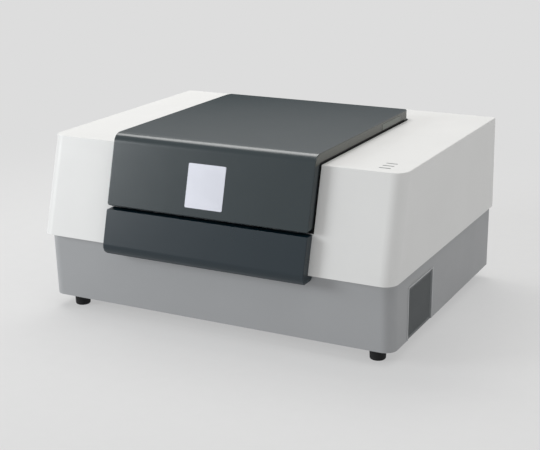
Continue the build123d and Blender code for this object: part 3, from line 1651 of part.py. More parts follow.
fan_frame.part.label = "fan_frame"
export_step(fan_frame.part, "parts/fan_frame.step")

blade_count = 7
blade_thickness = 1.6
fan_plane = Plane(
    origin=(fan_x, fan_front_y + fan_spider_depth + 1, rear_middle_z),
    x_dir=(1, 0, 0),
    z_dir=(0, 1, 0),
)
hub_depth = fan_depth - fan_spider_depth - 3
with BuildPart() as fan_blade:
    with BuildSketch(Plane.YZ.offset(fan_hub_radius - 1)):
        with Locations((0, hub_depth / 2)):
            Rectangle(14, blade_thickness, rotation=48)
    with BuildSketch(Plane.YZ.offset(fan_tip_radius)):
        with Locations((0, hub_depth / 2)):
            Rectangle(20, blade_thickness, rotation=28)
    loft()
with BuildPart(fan_plane) as fan_rotor:
    Cylinder(fan_hub_radius, hub_depth, align=(Align.CENTER, Align.CENTER, Align.MIN))
    with PolarLocations(0, blade_count):
        add(fan_blade.part)
    Cylinder(
        fan_spindle_radius + running_gap,
        hub_depth - 2,
        align=(Align.CENTER, Align.CENTER, Align.MIN),
        mode=Mode.SUBTRACT,
    )
fan_rotor.part.label = "fan_rotor"
export_step(fan_rotor.part, "parts/fan_rotor.step")

guard_ring_width = 1.6
guard_thickness = 1.6
guard_radius = 40
guard_rings = range(guard_radius, 8, -6)
with BuildPart() as fan_guard:
    with BuildSketch(Plane.XZ.offset(-wall_inner_y)):
        with Locations(fan_place):
            for reach in guard_rings:
                Circle(reach)
                Circle(reach - guard_ring_width, mode=Mode.SUBTRACT)
            for turn in (0, 45, 90, 135):
                Rectangle(2 * guard_radius - guard_ring_width, 2, rotation=turn)
    extrude(amount=-guard_thickness)
fan_guard.part.label = "fan_guard"
export_step(fan_guard.part, "parts/fan_guard.step")

# Rear screws: six hold the rear panel to the casing, four hold the fan to the panel
rear_screw_head_radius = 3
rear_screw_head_height = 1.6
rear_screw_length = base_wall + sheet_thickness + 4
with BuildPart() as rear_screws:
    for head_y, places in ((base_back_y, rear_screw_places), (wall_inner_y, fan_hole_places)):
        with BuildSketch(Plane.XZ.offset(-head_y)):
            with Locations(*places):
                Circle(rear_screw_radius)
        extrude(amount=rear_screw_length)
        with BuildSketch(Plane.XZ.offset(-head_y)):
            with Locations(*places):
                Circle(rear_screw_head_radius)
        extrude(amount=-rear_screw_head_height)
rear_screws.part.label = "rear_screws"
export_step(rear_screws.part, "parts/rear_screws.step")

# Power supply: a slotted metal case on the bottom plate
supply_x = (19 - base_half, 85 - base_half)
supply_y = (base_back_y - 312, base_back_y - 132)
supply_height = 50
with BuildPart() as power_supply:
    with BuildSketch(Plane.XY.offset(floor_z)):
        with Locations((sum(supply_x) / 2, sum(supply_y) / 2)):
            Rectangle(supply_x[1] - supply_x[0], supply_y[1] - supply_y[0])
    extrude(amount=supply_height)
    with BuildSketch(Plane.XY.offset(floor_z + supply_height)):
        with Locations((sum(supply_x) / 2, sum(supply_y) / 2)):
            with GridLocations(1, 12, 1, 12):
                Rectangle(40, 5)
    extrude(amount=-3, mode=Mode.SUBTRACT)
power_supply.part.label = "power_supply"
export_step(power_supply.part, "parts/power_supply.step")

# Control board: on the bottom plate's pillars, with its chips and connectors
control_low_z = floor_z + board_pillar_height
with BuildPart() as control_board:
    with BuildSketch(Plane.XY.offset(control_low_z)):
        with Locations((board_x, board_y)):
            Rectangle(board_width, board_length)
    extrude(amount=board_thickness)
    with BuildSketch(Plane.XY.offset(control_low_z + board_thickness)):
        with Locations((board_x - 8, board_y - 30), (board_x + 6, board_y + 30)):
            Rectangle(22, 22)
        with Locations((board_x + 20, board_y - 10)):
            Rectangle(12, 30)
    extrude(amount=2.4)
    with BuildSketch(Plane.XY.offset(control_low_z + board_thickness)):
        with Locations((board_x - board_width / 2 + 6, board_y)):
            with GridLocations(1, 26, 1, 5):
                Rectangle(7, 18)
    extrude(amount=8)
control_board.part.label = "control_board"
export_step(control_board.part, "parts/control_board.step")
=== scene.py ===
from math import cos, pi, radians, sin, tan

import bmesh
import bpy
from mathutils import Matrix, Vector


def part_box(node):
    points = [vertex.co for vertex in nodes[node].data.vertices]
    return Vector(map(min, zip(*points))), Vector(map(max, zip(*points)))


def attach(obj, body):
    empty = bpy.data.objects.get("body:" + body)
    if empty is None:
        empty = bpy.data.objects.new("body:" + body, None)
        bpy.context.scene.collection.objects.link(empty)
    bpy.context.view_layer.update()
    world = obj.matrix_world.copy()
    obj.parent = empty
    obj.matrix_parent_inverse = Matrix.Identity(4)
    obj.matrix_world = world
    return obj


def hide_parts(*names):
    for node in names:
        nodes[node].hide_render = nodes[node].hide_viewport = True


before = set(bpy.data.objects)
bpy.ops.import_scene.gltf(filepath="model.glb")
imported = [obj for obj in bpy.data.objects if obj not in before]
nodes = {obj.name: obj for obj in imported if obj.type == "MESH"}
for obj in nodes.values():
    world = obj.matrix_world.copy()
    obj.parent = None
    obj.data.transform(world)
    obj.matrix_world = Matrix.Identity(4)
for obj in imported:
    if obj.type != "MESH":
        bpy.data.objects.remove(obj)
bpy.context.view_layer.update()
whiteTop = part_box("upper_housing")[1][2]
scene = bpy.context.scene
scene.view_settings.view_transform = "Standard"
print("frame loaded")


# Camera: the photograph's own point of view
cameraLook = {
    "eye": (0.82135, -1.60983, 0.66338),
    "azimuth": 27.1793,
    "elevation": 16.8612,
    "roll": -0.4189,
    "sensor": 36,
    "focalPixels": 1183.638,
    "widthPixels": 540,
    "farthest": 40,
}


def addCamera(look):
    turn = radians(look["azimuth"])
    rise = radians(look["elevation"])
    roll = radians(look["roll"])
    back = Vector((sin(turn) * cos(rise), -cos(turn) * cos(rise), sin(rise)))
    right = Vector((cos(turn), sin(turn), 0))
    up = back.cross(right)
    across = right * cos(roll) + up * sin(roll)
    upward = up * cos(roll) - right * sin(roll)
    bpy.ops.object.camera_add()
    camera = bpy.context.object
    camera.name = "photoCamera"
    axes = Matrix((across, upward, back)).transposed().to_4x4()
    camera.matrix_world = Matrix.Translation(look["eye"]) @ axes
    camera.data.lens = look["sensor"] * look["focalPixels"] / look["widthPixels"]
    camera.data.sensor_width = look["sensor"]
    camera.data.clip_end = look["farthest"]
    scene.camera = camera


addCamera(cameraLook)
print("camera placed")


# Node helpers
def newMaterial(name):
    material = bpy.data.materials.new(name)
    material.use_nodes = True
    tree = material.node_tree
    tree.nodes.clear()
    output = tree.nodes.new("ShaderNodeOutputMaterial")
    output.location = (900, 0)
    return material, tree, output


def addNode(tree, kind, place, **values):
    node = tree.nodes.new(kind)
    node.location = place
    for key, value in values.items():
        setattr(node, key, value)
    return node


def noiseFrom(tree, coords, scale, detail, place, rough=0.55):
    noise = addNode(tree, "ShaderNodeTexNoise", place)
    noise.inputs["Scale"].default_value = scale
    noise.inputs["Detail"].default_value = detail
    noise.inputs["Roughness"].default_value = rough
    tree.links.new(coords, noise.inputs["Vector"])
    return noise.outputs["Fac"]


def rampFrom(tree, value, stops, place):
    ramp = addNode(tree, "ShaderNodeValToRGB", place)
    ramp.color_ramp.interpolation = "EASE"
    while len(ramp.color_ramp.elements) < len(stops):
        ramp.color_ramp.elements.new(0.5)
    for element, (position, color) in zip(ramp.color_ramp.elements, stops):
        element.position = position
        element.color = (*color, 1)
    tree.links.new(value, ramp.inputs["Fac"])
    return ramp.outputs["Color"]


def rangeFrom(tree, value, low, high, place):
    span = addNode(tree, "ShaderNodeMapRange", place)
    span.inputs["From Min"].default_value = 0.25
    span.inputs["From Max"].default_value = 0.75
    span.inputs["To Min"].default_value = low
    span.inputs["To Max"].default_value = high
    tree.links.new(value, span.inputs["Value"])
    return span.outputs["Result"]


def shade(color, amount):
    return tuple(min(1, max(0, channel * amount)) for channel in color)


def toneFrom(tree, value, color, drift, place):
    stops = [(0.3, shade(color, 1 - drift)), (0.7, shade(color, 1 + drift))]
    return rampFrom(tree, value, stops, place)


# Moulded plastic: drifting tone, fine grain, uneven gloss
def plastic(name, color, rough=0.5, drift=0.04, grain=900, grainDepth=0.12, gloss=0.5, drag=0.05):
    material, tree, output = newMaterial(name)
    coords = addNode(tree, "ShaderNodeTexCoord", (-1100, 0)).outputs["Object"]
    broad = noiseFrom(tree, coords, 7, 4, (-850, 250))
    fine = noiseFrom(tree, coords, grain, 2, (-850, -250))
    smudge = noiseFrom(tree, coords, 26, 5, (-850, 0), 0.62)
    tone = toneFrom(tree, broad, color, drift, (-550, 300))
    shader = addNode(tree, "ShaderNodeBsdfPrincipled", (500, 0))
    tree.links.new(tone, shader.inputs["Base Color"])
    roughness = rangeFrom(tree, smudge, rough - drag, rough + drag, (-550, 0))
    tree.links.new(roughness, shader.inputs["Roughness"])
    shader.inputs["Specular IOR Level"].default_value = gloss
    bump = addNode(tree, "ShaderNodeBump", (100, -300))
    bump.inputs["Strength"].default_value = grainDepth
    bump.inputs["Distance"].default_value = 0.0002
    tree.links.new(fine, bump.inputs["Height"])
    tree.links.new(bump.outputs["Normal"], shader.inputs["Normal"])
    tree.links.new(shader.outputs["BSDF"], output.inputs["Surface"])
    return material


# Gloss that holds back at a shallow look, as a fine moulded grain does
def softenGrazing(material, facing, shallow, low, high):
    tree = material.node_tree
    shader = next(node for node in tree.nodes if node.type == "BSDF_PRINCIPLED")
    weight = addNode(tree, "ShaderNodeLayerWeight", (-200, -500))
    weight.inputs["Blend"].default_value = 0.5
    fall = addNode(tree, "ShaderNodeMapRange", (50, -500), interpolation_type="SMOOTHSTEP")
    fall.inputs["From Min"].default_value = low
    fall.inputs["From Max"].default_value = high
    fall.inputs["To Min"].default_value = facing
    fall.inputs["To Max"].default_value = shallow
    tree.links.new(weight.outputs["Facing"], fall.inputs["Value"])
    tree.links.new(fall.outputs["Result"], shader.inputs["Specular IOR Level"])


# Painted reflection: a lighter olive tone on the lid's upright side walls, above the white top, stands in
# for the white housing reflected in them
def paintSideReflection(material, look):
    tree = material.node_tree
    shader = next(node for node in tree.nodes if node.type == "BSDF_PRINCIPLED")
    toneLink = shader.inputs["Base Color"].links[0]
    coords = addNode(tree, "ShaderNodeTexCoord", (-1100, 700)).outputs["Object"]
    parts = addNode(tree, "ShaderNodeSeparateXYZ", (-900, 700))
    tree.links.new(coords, parts.inputs["Vector"])
    aside = addNode(tree, "ShaderNodeMath", (-700, 800), operation="ABSOLUTE")
    tree.links.new(parts.outputs["X"], aside.inputs[0])
    both = addNode(tree, "ShaderNodeMath", (-300, 700), operation="MULTIPLY")
    edges = ((aside.outputs["Value"], look["sideFade"]), (parts.outputs["Z"], look["heightFade"]))
    for row, (source, (low, high)) in enumerate(edges):
        place = (-500, 800 - 200 * row)
        span = addNode(tree, "ShaderNodeMapRange", place, interpolation_type="SMOOTHSTEP")
        span.inputs["From Min"].default_value = low
        span.inputs["From Max"].default_value = high
        tree.links.new(source, span.inputs["Value"])
        tree.links.new(span.outputs["Result"], both.inputs[row])
    mix = addNode(tree, "ShaderNodeMix", (200, 500), data_type="RGBA")
    mix.inputs["B"].default_value = (*look["color"], 1)
    tree.links.new(both.outputs["Value"], mix.inputs["Factor"])
    tree.links.new(toneLink.from_socket, mix.inputs["A"])
    tree.links.new(mix.outputs["Result"], shader.inputs["Base Color"])


# Metal: brushed along one axis, or cast and milled when the stretch is even
def metal(name, color, rough=0.32, stretch=(1, 1, 1), scale=300, metallic=1.0, depth=0.1, drift=0.06):
    material, tree, output = newMaterial(name)
    coords = addNode(tree, "ShaderNodeTexCoord", (-1300, 0)).outputs["Object"]
    mapping = addNode(tree, "ShaderNodeMapping", (-1100, 0))
    mapping.inputs["Scale"].default_value = stretch
    tree.links.new(coords, mapping.inputs["Vector"])
    lines = noiseFrom(tree, mapping.outputs["Vector"], scale, 3, (-850, -200))
    broad = noiseFrom(tree, coords, 18, 4, (-850, 200))
    tone = toneFrom(tree, broad, color, drift, (-550, 250))
    shader = addNode(tree, "ShaderNodeBsdfPrincipled", (500, 0))
    shader.inputs["Metallic"].default_value = metallic
    tree.links.new(tone, shader.inputs["Base Color"])
    roughness = rangeFrom(tree, lines, rough - 0.06, rough + 0.08, (-550, -50))
    tree.links.new(roughness, shader.inputs["Roughness"])
    bump = addNode(tree, "ShaderNodeBump", (100, -300))
    bump.inputs["Strength"].default_value = depth
    bump.inputs["Distance"].default_value = 0.0001
    tree.links.new(lines, bump.inputs["Height"])
    tree.links.new(bump.outputs["Normal"], shader.inputs["Normal"])
    tree.links.new(shader.outputs["BSDF"], output.inputs["Surface"])
    return material


# Glass: tinted, with a faint film of dust in its roughness
def glass(name, color, rough=0.03, ior=1.5):
    material, tree, output = newMaterial(name)
    coords = addNode(tree, "ShaderNodeTexCoord", (-1100, 0)).outputs["Object"]
    film = noiseFrom(tree, coords, 60, 6, (-850, 0), 0.7)
    tone = rampFrom(tree, film, [(0.35, shade(color, 0.97)), (0.65, color)], (-550, 250))
    shader = addNode(tree, "ShaderNodeBsdfPrincipled", (500, 0))
    tree.links.new(tone, shader.inputs["Base Color"])
    tree.links.new(rangeFrom(tree, film, rough, rough + 0.05, (-550, 0)), shader.inputs["Roughness"])
    shader.inputs["Transmission Weight"].default_value = 1
    shader.inputs["IOR"].default_value = ior
    tree.links.new(shader.outputs["BSDF"], output.inputs["Surface"])
    return material


# Finishes; the housing's two plastics share one fine grain, the dark ones a smoother one
caseGrain = {"drift": 0.012, "grain": 1400}
darkGrain = {"drift": 0.02, "grain": 1100, "grainDepth": 0.04, "drag": 0.01}
whitePlastic = plastic("whitePlastic", (0.80, 0.80, 0.79), rough=0.42, grainDepth=0.1, **caseGrain)
greyPlastic = plastic("greyPlastic", (0.375, 0.382, 0.392), rough=0.5, **caseGrain)
lidPlastic = plastic("lidPlastic", (0.008, 0.020, 0.025), rough=0.25, **darkGrain)
panelPlastic = plastic("panelPlastic", (0.003, 0.014, 0.022), rough=0.28, **darkGrain)
softenGrazing(lidPlastic, 0.7, 0.0, 0.62, 0.83)
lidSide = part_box("lid_shell")[1][0]
# Colour and mask of the painted reflection of the white housing on the lid's side walls
lidSideReflectionLook = {
    "color": (0.055, 0.06, 0.047),
    "sideFade": (lidSide - 0.0008, lidSide - 0.0001),
    "heightFade": (whiteTop, whiteTop + 0.001),
}
paintSideReflection(lidPlastic, lidSideReflectionLook)
softenGrazing(panelPlastic, 0.55, 0.0, 0.62, 0.83)
# Lighter grey for the vent bead: painted highlight of the lit window edge
edgeHighlightPlastic = plastic("edgeHighlightPlastic", (0.52, 0.53, 0.54), rough=0.45, drift=0.03)
capPlastic = plastic("capPlastic", (0.20, 0.215, 0.195), rough=0.45, drift=0.05)
ventPlastic = plastic("ventPlastic", (0.135, 0.147, 0.152), rough=0.5, drift=0.05)
blackPlastic = plastic("blackPlastic", (0.016, 0.016, 0.017), rough=0.35, drift=0.1, grain=1600)
rubber = plastic(
    "rubber", (0.012, 0.012, 0.013), rough=0.75, drift=0.15, grain=700, grainDepth=0.3, gloss=0.3
)
foam = plastic(
    "foam", (0.014, 0.014, 0.014), rough=0.95, drift=0.25, grain=1500, grainDepth=0.9, gloss=0.2
)
mattBlack = plastic("mattBlack", (0.012, 0.012, 0.013), rough=0.62, drift=0.12, grain=1800, grainDepth=0.25)
powderCoat = plastic("powderCoat", (0.12, 0.125, 0.13), rough=0.55, drift=0.06, grain=2200, grainDepth=0.35)
zincSteel = metal("zincSteel", (0.62, 0.63, 0.64), rough=0.34)
blackSteel = metal("blackSteel", (0.05, 0.05, 0.052), rough=0.45)
groundSteel = metal("groundSteel", (0.72, 0.72, 0.73), rough=0.16, stretch=(30, 1, 30), scale=120)
railSteel = metal("railSteel", (0.70, 0.70, 0.71), rough=0.18, stretch=(1, 30, 30), scale=120)
milledAluminium = metal("milledAluminium", (0.70, 0.71, 0.72), rough=0.38, stretch=(1, 1, 18), scale=160)
blackAnodised = metal("blackAnodised", (0.03, 0.03, 0.032), rough=0.42, metallic=0.7, scale=700)
clearAnodised = metal("clearAnodised", (0.60, 0.61, 0.62), rough=0.4, scale=600)
plateMetal = metal(
    "plateMetal",
    (0.63, 0.64, 0.70),
    rough=0.42,
    stretch=(1, 1, 22),
    scale=150,
    metallic=0.35,
    depth=0.05,
    drift=0.03,
)
bronze = metal("bronze", (0.42, 0.26, 0.10), rough=0.42, scale=900)
nickel = metal("nickel", (0.66, 0.62, 0.52), rough=0.25)
boardGreen = plastic("boardGreen", (0.012, 0.07, 0.035), rough=0.3, drift=0.2, grain=500)
stageGlass = glass("stageGlass", (0.93, 0.97, 0.96))
lensGlass = glass("lensGlass", (0.80, 0.84, 0.95))
filterGlass = glass("filterGlass", (0.45, 0.75, 0.45))
indicatorGlass = plastic(
    "indicatorGlass", (0.02, 0.026, 0.035), rough=0.3, drift=0.1, grain=300, grainDepth=0.1
)
softenGrazing(indicatorGlass, 0.4, 0.02, 0.4, 0.75)
print("materials made")

finishes = [
    (whitePlastic, ["upper_housing"]),
    (greyPlastic, ["base_casing"]),
    (lidPlastic, ["lid_shell"]),
    (panelPlastic, ["front_panel"]),
    (capPlastic, ["hinge_caps"]),
    (ventPlastic, ["side_vent"]),
    (blackPlastic, ["power_entry", "power_rocker", "fan_frame", "fan_rotor"]),
    (rubber, ["rubber_feet", "gantry_belt", "head_belt"]),
    (foam, ["lid_gasket"]),
    (mattBlack, ["lid_liner", "chamber_tub", "hinge_brackets", "detector_module", "fan_guard"]),
    (powderCoat, ["bottom_plate", "rear_panel"]),
    (zincSteel, ["foot_screws", "bottom_screws", "panel_screws", "hinge_leaves", "hinge_screws"]),
    (zincSteel, ["motor_bracket", "idler_bracket", "filter_motor", "data_socket", "power_supply"]),
    (blackSteel, ["liner_screws", "bracket_screws", "rear_screws", "gantry_motor", "head_motor"]),
    (groundSteel, ["guide_rods", "hinge_pins"]),
    (railSteel, ["head_rail"]),
    (milledAluminium, ["crossmembers", "gantry_drive_pulley", "gantry_idler"]),
    (milledAluminium, ["head_drive_pulley", "head_idler"]),
    (blackAnodised, ["stage_deck", "gantry_beam", "head_body", "objective_barrel"]),
    (blackAnodised, ["filter_wheel", "excitation_module"]),
    (clearAnodised, ["head_carriage"]),
    (plateMetal, ["lid_plate"]),
    (bronze, ["gantry_bushings"]),
    (nickel, ["inlet_pins"]),
    (boardGreen, ["indicator_board", "control_board"]),
    (stageGlass, ["stage_glass"]),
    (lensGlass, ["objective_glass"]),
    (filterGlass, ["emission_filters"]),
    (indicatorGlass, ["indicator_windows"]),
]


def finishNodes(table):
    done = set()
    for material, names in table:
        for name in names:
            for slot in nodes[name].material_slots:
                slot.material = material
            done.add(name)
    left = sorted(set(nodes) - done)
    if left:
        print("nodes without a finish:", left)


finishNodes(finishes)
print("finishes on the frame")


# Modelling helpers: everything is shaped in edit mode, then baked to the origin
def nothingSelected():
    if bpy.context.object and bpy.context.object.mode != "OBJECT":
        bpy.ops.object.mode_set(mode="OBJECT")
    bpy.ops.object.select_all(action="DESELECT")


def editFaces(piece, test):
    bpy.ops.object.mode_set(mode="EDIT")
    bpy.ops.mesh.select_mode(type="FACE")
    bpy.ops.mesh.select_all(action="DESELECT")
    shape = bmesh.from_edit_mesh(piece.data)
    for face in shape.faces:
        face.select_set(bool(test(face)))
    shape.select_flush_mode()
    bmesh.update_edit_mesh(piece.data)


def editEdges(piece, test):
    bpy.ops.object.mode_set(mode="EDIT")
    bpy.ops.mesh.select_mode(type="EDGE")
    bpy.ops.mesh.select_all(action="DESELECT")
    shape = bmesh.from_edit_mesh(piece.data)
    for edge in shape.edges:
        edge.select_set(bool(test(edge)))
    bmesh.update_edit_mesh(piece.data)


def newBox(place, size):
    nothingSelected()
    bpy.ops.mesh.primitive_cube_add(size=1, location=place)
    bpy.context.object.scale = size
    bpy.ops.object.transform_apply(location=False, rotation=False, scale=True)
    return bpy.context.object


# Cylinder that stands on z 0
def newRound(radius, height, sides):
    nothingSelected()
    middle = (0, 0, height / 2)
    bpy.ops.mesh.primitive_cylinder_add(vertices=sides, radius=radius, depth=height, location=middle)
    bpy.ops.object.transform_apply(location=True, rotation=False, scale=False)
    return bpy.context.object


def copyTo(source, places, turn=Matrix.Identity(4)):
    made = []
    for place in places:
        one = source.copy()
        one.data = source.data.copy()
        one.matrix_world = Matrix.Translation(place) @ turn
        scene.collection.objects.link(one)
        made.append(one)
    bpy.data.objects.remove(source)
    return made


def joined(parts):
    nothingSelected()
    for part in parts:
        part.select_set(True)
    bpy.context.view_layer.objects.active = parts[0]
    if len(parts) > 1:
        bpy.ops.object.join()
    return bpy.context.object


def finishPiece(piece, name, material, body, standsFor=(), angle=35):
    nothingSelected()
    piece.select_set(True)
    bpy.context.view_layer.objects.active = piece
    bpy.ops.object.transform_apply(location=True, rotation=True, scale=True)
    piece.name = name
    piece.data.materials.clear()
    piece.data.materials.append(material)
    bpy.ops.object.shade_smooth_by_angle(angle=radians(angle))
    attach(piece, body)
    if standsFor:
        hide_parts(*standsFor)


def applied(piece, kind, **values):
    nothingSelected()
    piece.select_set(True)
    bpy.context.view_layer.objects.active = piece
    modifier = piece.modifiers.new(kind.lower(), kind)
    for key, value in values.items():
        setattr(modifier, key, value)
    bpy.ops.object.modifier_apply(modifier=modifier.name)


# Boxes of the separate solids in one node, sorted by place
def solidBoxes(name):
    shape = bmesh.new()
    shape.from_mesh(nodes[name].data)
    bmesh.ops.remove_doubles(shape, verts=shape.verts, dist=0.00001)
    left = set(shape.verts)
    boxes = []
    while left:
        queue = [left.pop()]
        found = list(queue)
        while queue:
            for edge in queue.pop().link_edges:
                for vert in edge.verts:
                    if vert in left:
                        left.remove(vert)
                        found.append(vert)
                        queue.append(vert)
        low = Vector([min(vert.co[axis] for vert in found) for axis in range(3)])
        high = Vector([max(vert.co[axis] for vert in found) for axis in range(3)])
        boxes.append((low, high))
    shape.free()
    return sorted(boxes, key=lambda box: tuple(round(value, 4) for value in box[0]))


# Pan-head screw with a cross recess, head up, shank down from z 0
crossLook = {
    "sides": 32,
    "round": 0.62,
    "profile": 0.6,
    "armLength": 1.15,
    "armWidth": 0.26,
    "armDepth": 1.3,
    "taper": (0.45, 0.7, 1),
}


def crossScrew(look):
    headRadius, headHeight = look["headRadius"], look["headHeight"]
    screw = newRound(headRadius, headHeight, crossLook["sides"])
    editEdges(screw, lambda edge: all(vert.co.z > 0 for vert in edge.verts))
    bpy.ops.mesh.bevel(
        offset=headHeight * crossLook["round"],
        segments=4,
        affect="EDGES",
        profile=crossLook["profile"],
    )
    editFaces(screw, lambda face: face.normal.z < -0.9)
    bpy.ops.mesh.inset(thickness=headRadius - look["shankRadius"])
    bpy.ops.mesh.extrude_region_move(TRANSFORM_OT_translate={"value": (0, 0, -look["shankLength"])})
    bpy.ops.object.mode_set(mode="OBJECT")
    arm = (
        headRadius * crossLook["armLength"],
        headRadius * crossLook["armWidth"],
        headHeight * crossLook["armDepth"],
    )
    for turned in (0, pi / 2):
        cutter = newBox((0, 0, headHeight), arm)
        editFaces(cutter, lambda face: face.normal.z < -0.9)
        bpy.ops.transform.resize(value=crossLook["taper"])
        bpy.ops.object.mode_set(mode="OBJECT")
        cutter.rotation_euler = (0, 0, turned)
        bpy.context.view_layer.update()
        applied(screw, "BOOLEAN", operation="DIFFERENCE", object=cutter, solver="EXACT")
        bpy.data.objects.remove(cutter)
    return screw


# Axis and side say where the heads look: 1 is y, 2 is z
rearScrewLook = {
    "headRadius": 0.003,
    "headHeight": 0.0016,
    "shankRadius": 0.0015,
    "shankLength": 0.009,
    "axis": 1,
    "side": 1,
    "turn": -pi / 2,
}
bottomScrewLook = {
    "headRadius": 0.003,
    "headHeight": 0.0015,
    "shankRadius": 0.0015,
    "shankLength": 0.0089,
    "axis": 2,
    "side": -1,
    "turn": pi,
}


def addScrews(node, name, look, material):
    places = []
    for low, high in solidBoxes(node):
        place = (low + high) / 2
        outer = (high if look["side"] > 0 else low)[look["axis"]]
        place[look["axis"]] = outer - look["side"] * look["headHeight"]
        places.append(place)
    turn = Matrix.Rotation(look["turn"], 4, "X")
    screws = joined(copyTo(crossScrew(look), places, turn))
    finishPiece(screws, name, material, "housing", (node,))


addScrews("rear_screws", "rearPanelScrews", rearScrewLook, blackSteel)
addScrews("bottom_screws", "bottomPlateScrews", bottomScrewLook, zincSteel)
print("screws made")


# Toothed belts: one tooth, repeated along a closed track round both pulleys
beltLook = {
    "band": 0.0007,
    "tooth": 0.0005,
    "toothFrom": 0.28,
    "toothTo": 0.72,
    "toothTip": 0.7,
    "pitch": 0.003,
    "width": 0.0054,
    "merge": 0.00002,
    "seam": 0.0001,
    "arcSteps": 16,
}


# Two straight runs and two half rounds, with the length of the whole
def beltTrack(span, radius, steps, name):
    curve = bpy.data.curves.new(name, "CURVE")
    curve.dimensions = "2D"
    points = []
    for end, start in ((1, -pi / 2), (-1, pi / 2)):
        for step in range(steps + 1):
            angle = start + pi * step / steps
            points.append((end * span / 2 + radius * cos(angle), radius * sin(angle)))
    spline = curve.splines.new("POLY")
    spline.points.add(len(points) - 1)
    for point, (x, y) in zip(spline.points, points):
        point.co = (x, y, 0, 1)
    spline.use_cyclic_u = True
    track = bpy.data.objects.new(name, curve)
    scene.collection.objects.link(track)
    chord = 2 * radius * sin(pi / 2 / steps)
    return track, 2 * span + 2 * steps * chord


def addBelt(look, node, name, alongY, body):
    low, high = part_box(node)
    low, high = Vector(low), Vector(high)
    size = high - low
    radius = (size.z if alongY else size.y) / 2
    span = (size.y if alongY else size.x) - 2 * radius
    track, length = beltTrack(span, radius, look["arcSteps"], name + "Track")
    count = round(length / look["pitch"])
    pitch = length / count
    link = newBox((pitch / 2, -look["band"] / 2, 0), (pitch, look["band"], look["width"]))
    bpy.ops.object.transform_apply(location=True, rotation=False, scale=False)
    bpy.ops.object.mode_set(mode="EDIT")
    for cut in (look["toothFrom"], look["toothTo"]):
        bpy.ops.mesh.select_all(action="SELECT")
        bpy.ops.mesh.bisect(plane_co=(pitch * cut, 0, 0), plane_no=(1, 0, 0))
    bpy.ops.object.mode_set(mode="OBJECT")

    def fromMiddle(face):
        return abs(face.calc_center_median().x - pitch / 2) / pitch

    editFaces(link, lambda face: face.normal.y < -0.9 and fromMiddle(face) < 0.2)
    bpy.ops.mesh.extrude_region_move(TRANSFORM_OT_translate={"value": (0, -look["tooth"], 0)})
    bpy.ops.transform.resize(value=(look["toothTip"], 1, 1))
    editFaces(link, lambda face: abs(face.normal.x) > 0.9 and fromMiddle(face) > 0.45)
    bpy.ops.mesh.delete(type="FACE")
    bpy.ops.object.mode_set(mode="OBJECT")
    applied(
        link,
        "ARRAY",
        count=count,
        use_relative_offset=False,
        use_constant_offset=True,
        constant_offset_displace=(pitch, 0, 0),
        use_merge_vertices=True,
        merge_threshold=look["merge"],
    )
    applied(link, "CURVE", object=track, deform_axis="POS_X")
    bpy.ops.object.mode_set(mode="EDIT")
    bpy.ops.mesh.select_all(action="SELECT")
    bpy.ops.mesh.remove_doubles(threshold=look["seam"])
    bpy.ops.object.mode_set(mode="OBJECT")
    bpy.data.objects.remove(track)
    middle = (low + high) / 2
    if alongY:
        turn = Matrix.Rotation(pi / 2, 4, "Z") @ Matrix.Rotation(pi / 2, 4, "X")
    else:
        turn = Matrix.Identity(4)
    link.matrix_world = Matrix.Translation(middle) @ turn
    bpy.context.view_layer.update()
    finishPiece(link, name, rubber, body, (node,), 50)


addBelt(beltLook, "gantry_belt", "gantryToothedBelt", True, "housing")
addBelt(beltLook, "head_belt", "headToothedBelt", False, "gantry")
print("belts made")


# Black rubber lip in the rebates along both sides of the lid: partly a seal, partly painted shade that
# deepens the shadow line in the gap under the lid's sides
shadeLipLook = {
    "middle": 0.16378,
    "thick": 0.0010,
    "low": whiteTop + 0.0001,
    "height": 0.0027,
    "back": 0.1417,
    "corner": -0.1781,
    "drop": 0.0872,
    "slope": 0.2640,
    "edge": 0.0002,
}


def addShadeLip(look, side):
    thick, height = look["thick"], look["height"]
    back, middle = look["back"], look["low"] + height / 2
    strip = newBox((side * look["middle"], back - thick / 2, middle), (thick, thick, height))
    bpy.ops.object.transform_apply(location=True, rotation=False, scale=False)
    editFaces(strip, lambda face: face.normal.y < -0.9)
    run = back - thick - look["corner"]
    bpy.ops.mesh.extrude_region_move(TRANSFORM_OT_translate={"value": (0, -run, 0)})
    # Mitre at the fold: the front end's upper edge goes forward, then the end runs down the slope
    bend = pi / 2 - look["slope"]

    def atEnd(vert):
        return vert.co.y < look["corner"] + 0.0001

    editEdges(strip, lambda edge: all(atEnd(vert) and vert.co.z > middle for vert in edge.verts))
    bpy.ops.transform.translate(value=(0, -height * tan(bend / 2), 0))
    editFaces(strip, lambda face: all(atEnd(vert) for vert in face.verts))
    shift = (0, -look["drop"] * tan(look["slope"]), -look["drop"])
    bpy.ops.mesh.extrude_region_move(TRANSFORM_OT_translate={"value": shift})
    bpy.ops.object.mode_set(mode="OBJECT")
    applied(strip, "BEVEL", width=look["edge"], segments=1)
    return strip


# Painted shade: the black strips darken the gap line under the lid's sides
lidShadeLip = joined([addShadeLip(shadeLipLook, side) for side in (-1, 1)])
finishPiece(lidShadeLip, "lidSideShadeLip", rubber, "lid")
print("lid lip made")


# Dark windows of the three indicators, rounded bars almost flush with the top
indicatorLook = {"below": 0.00008, "rounding": 0.49, "rim": 0.0005, "dish": 0.00012}


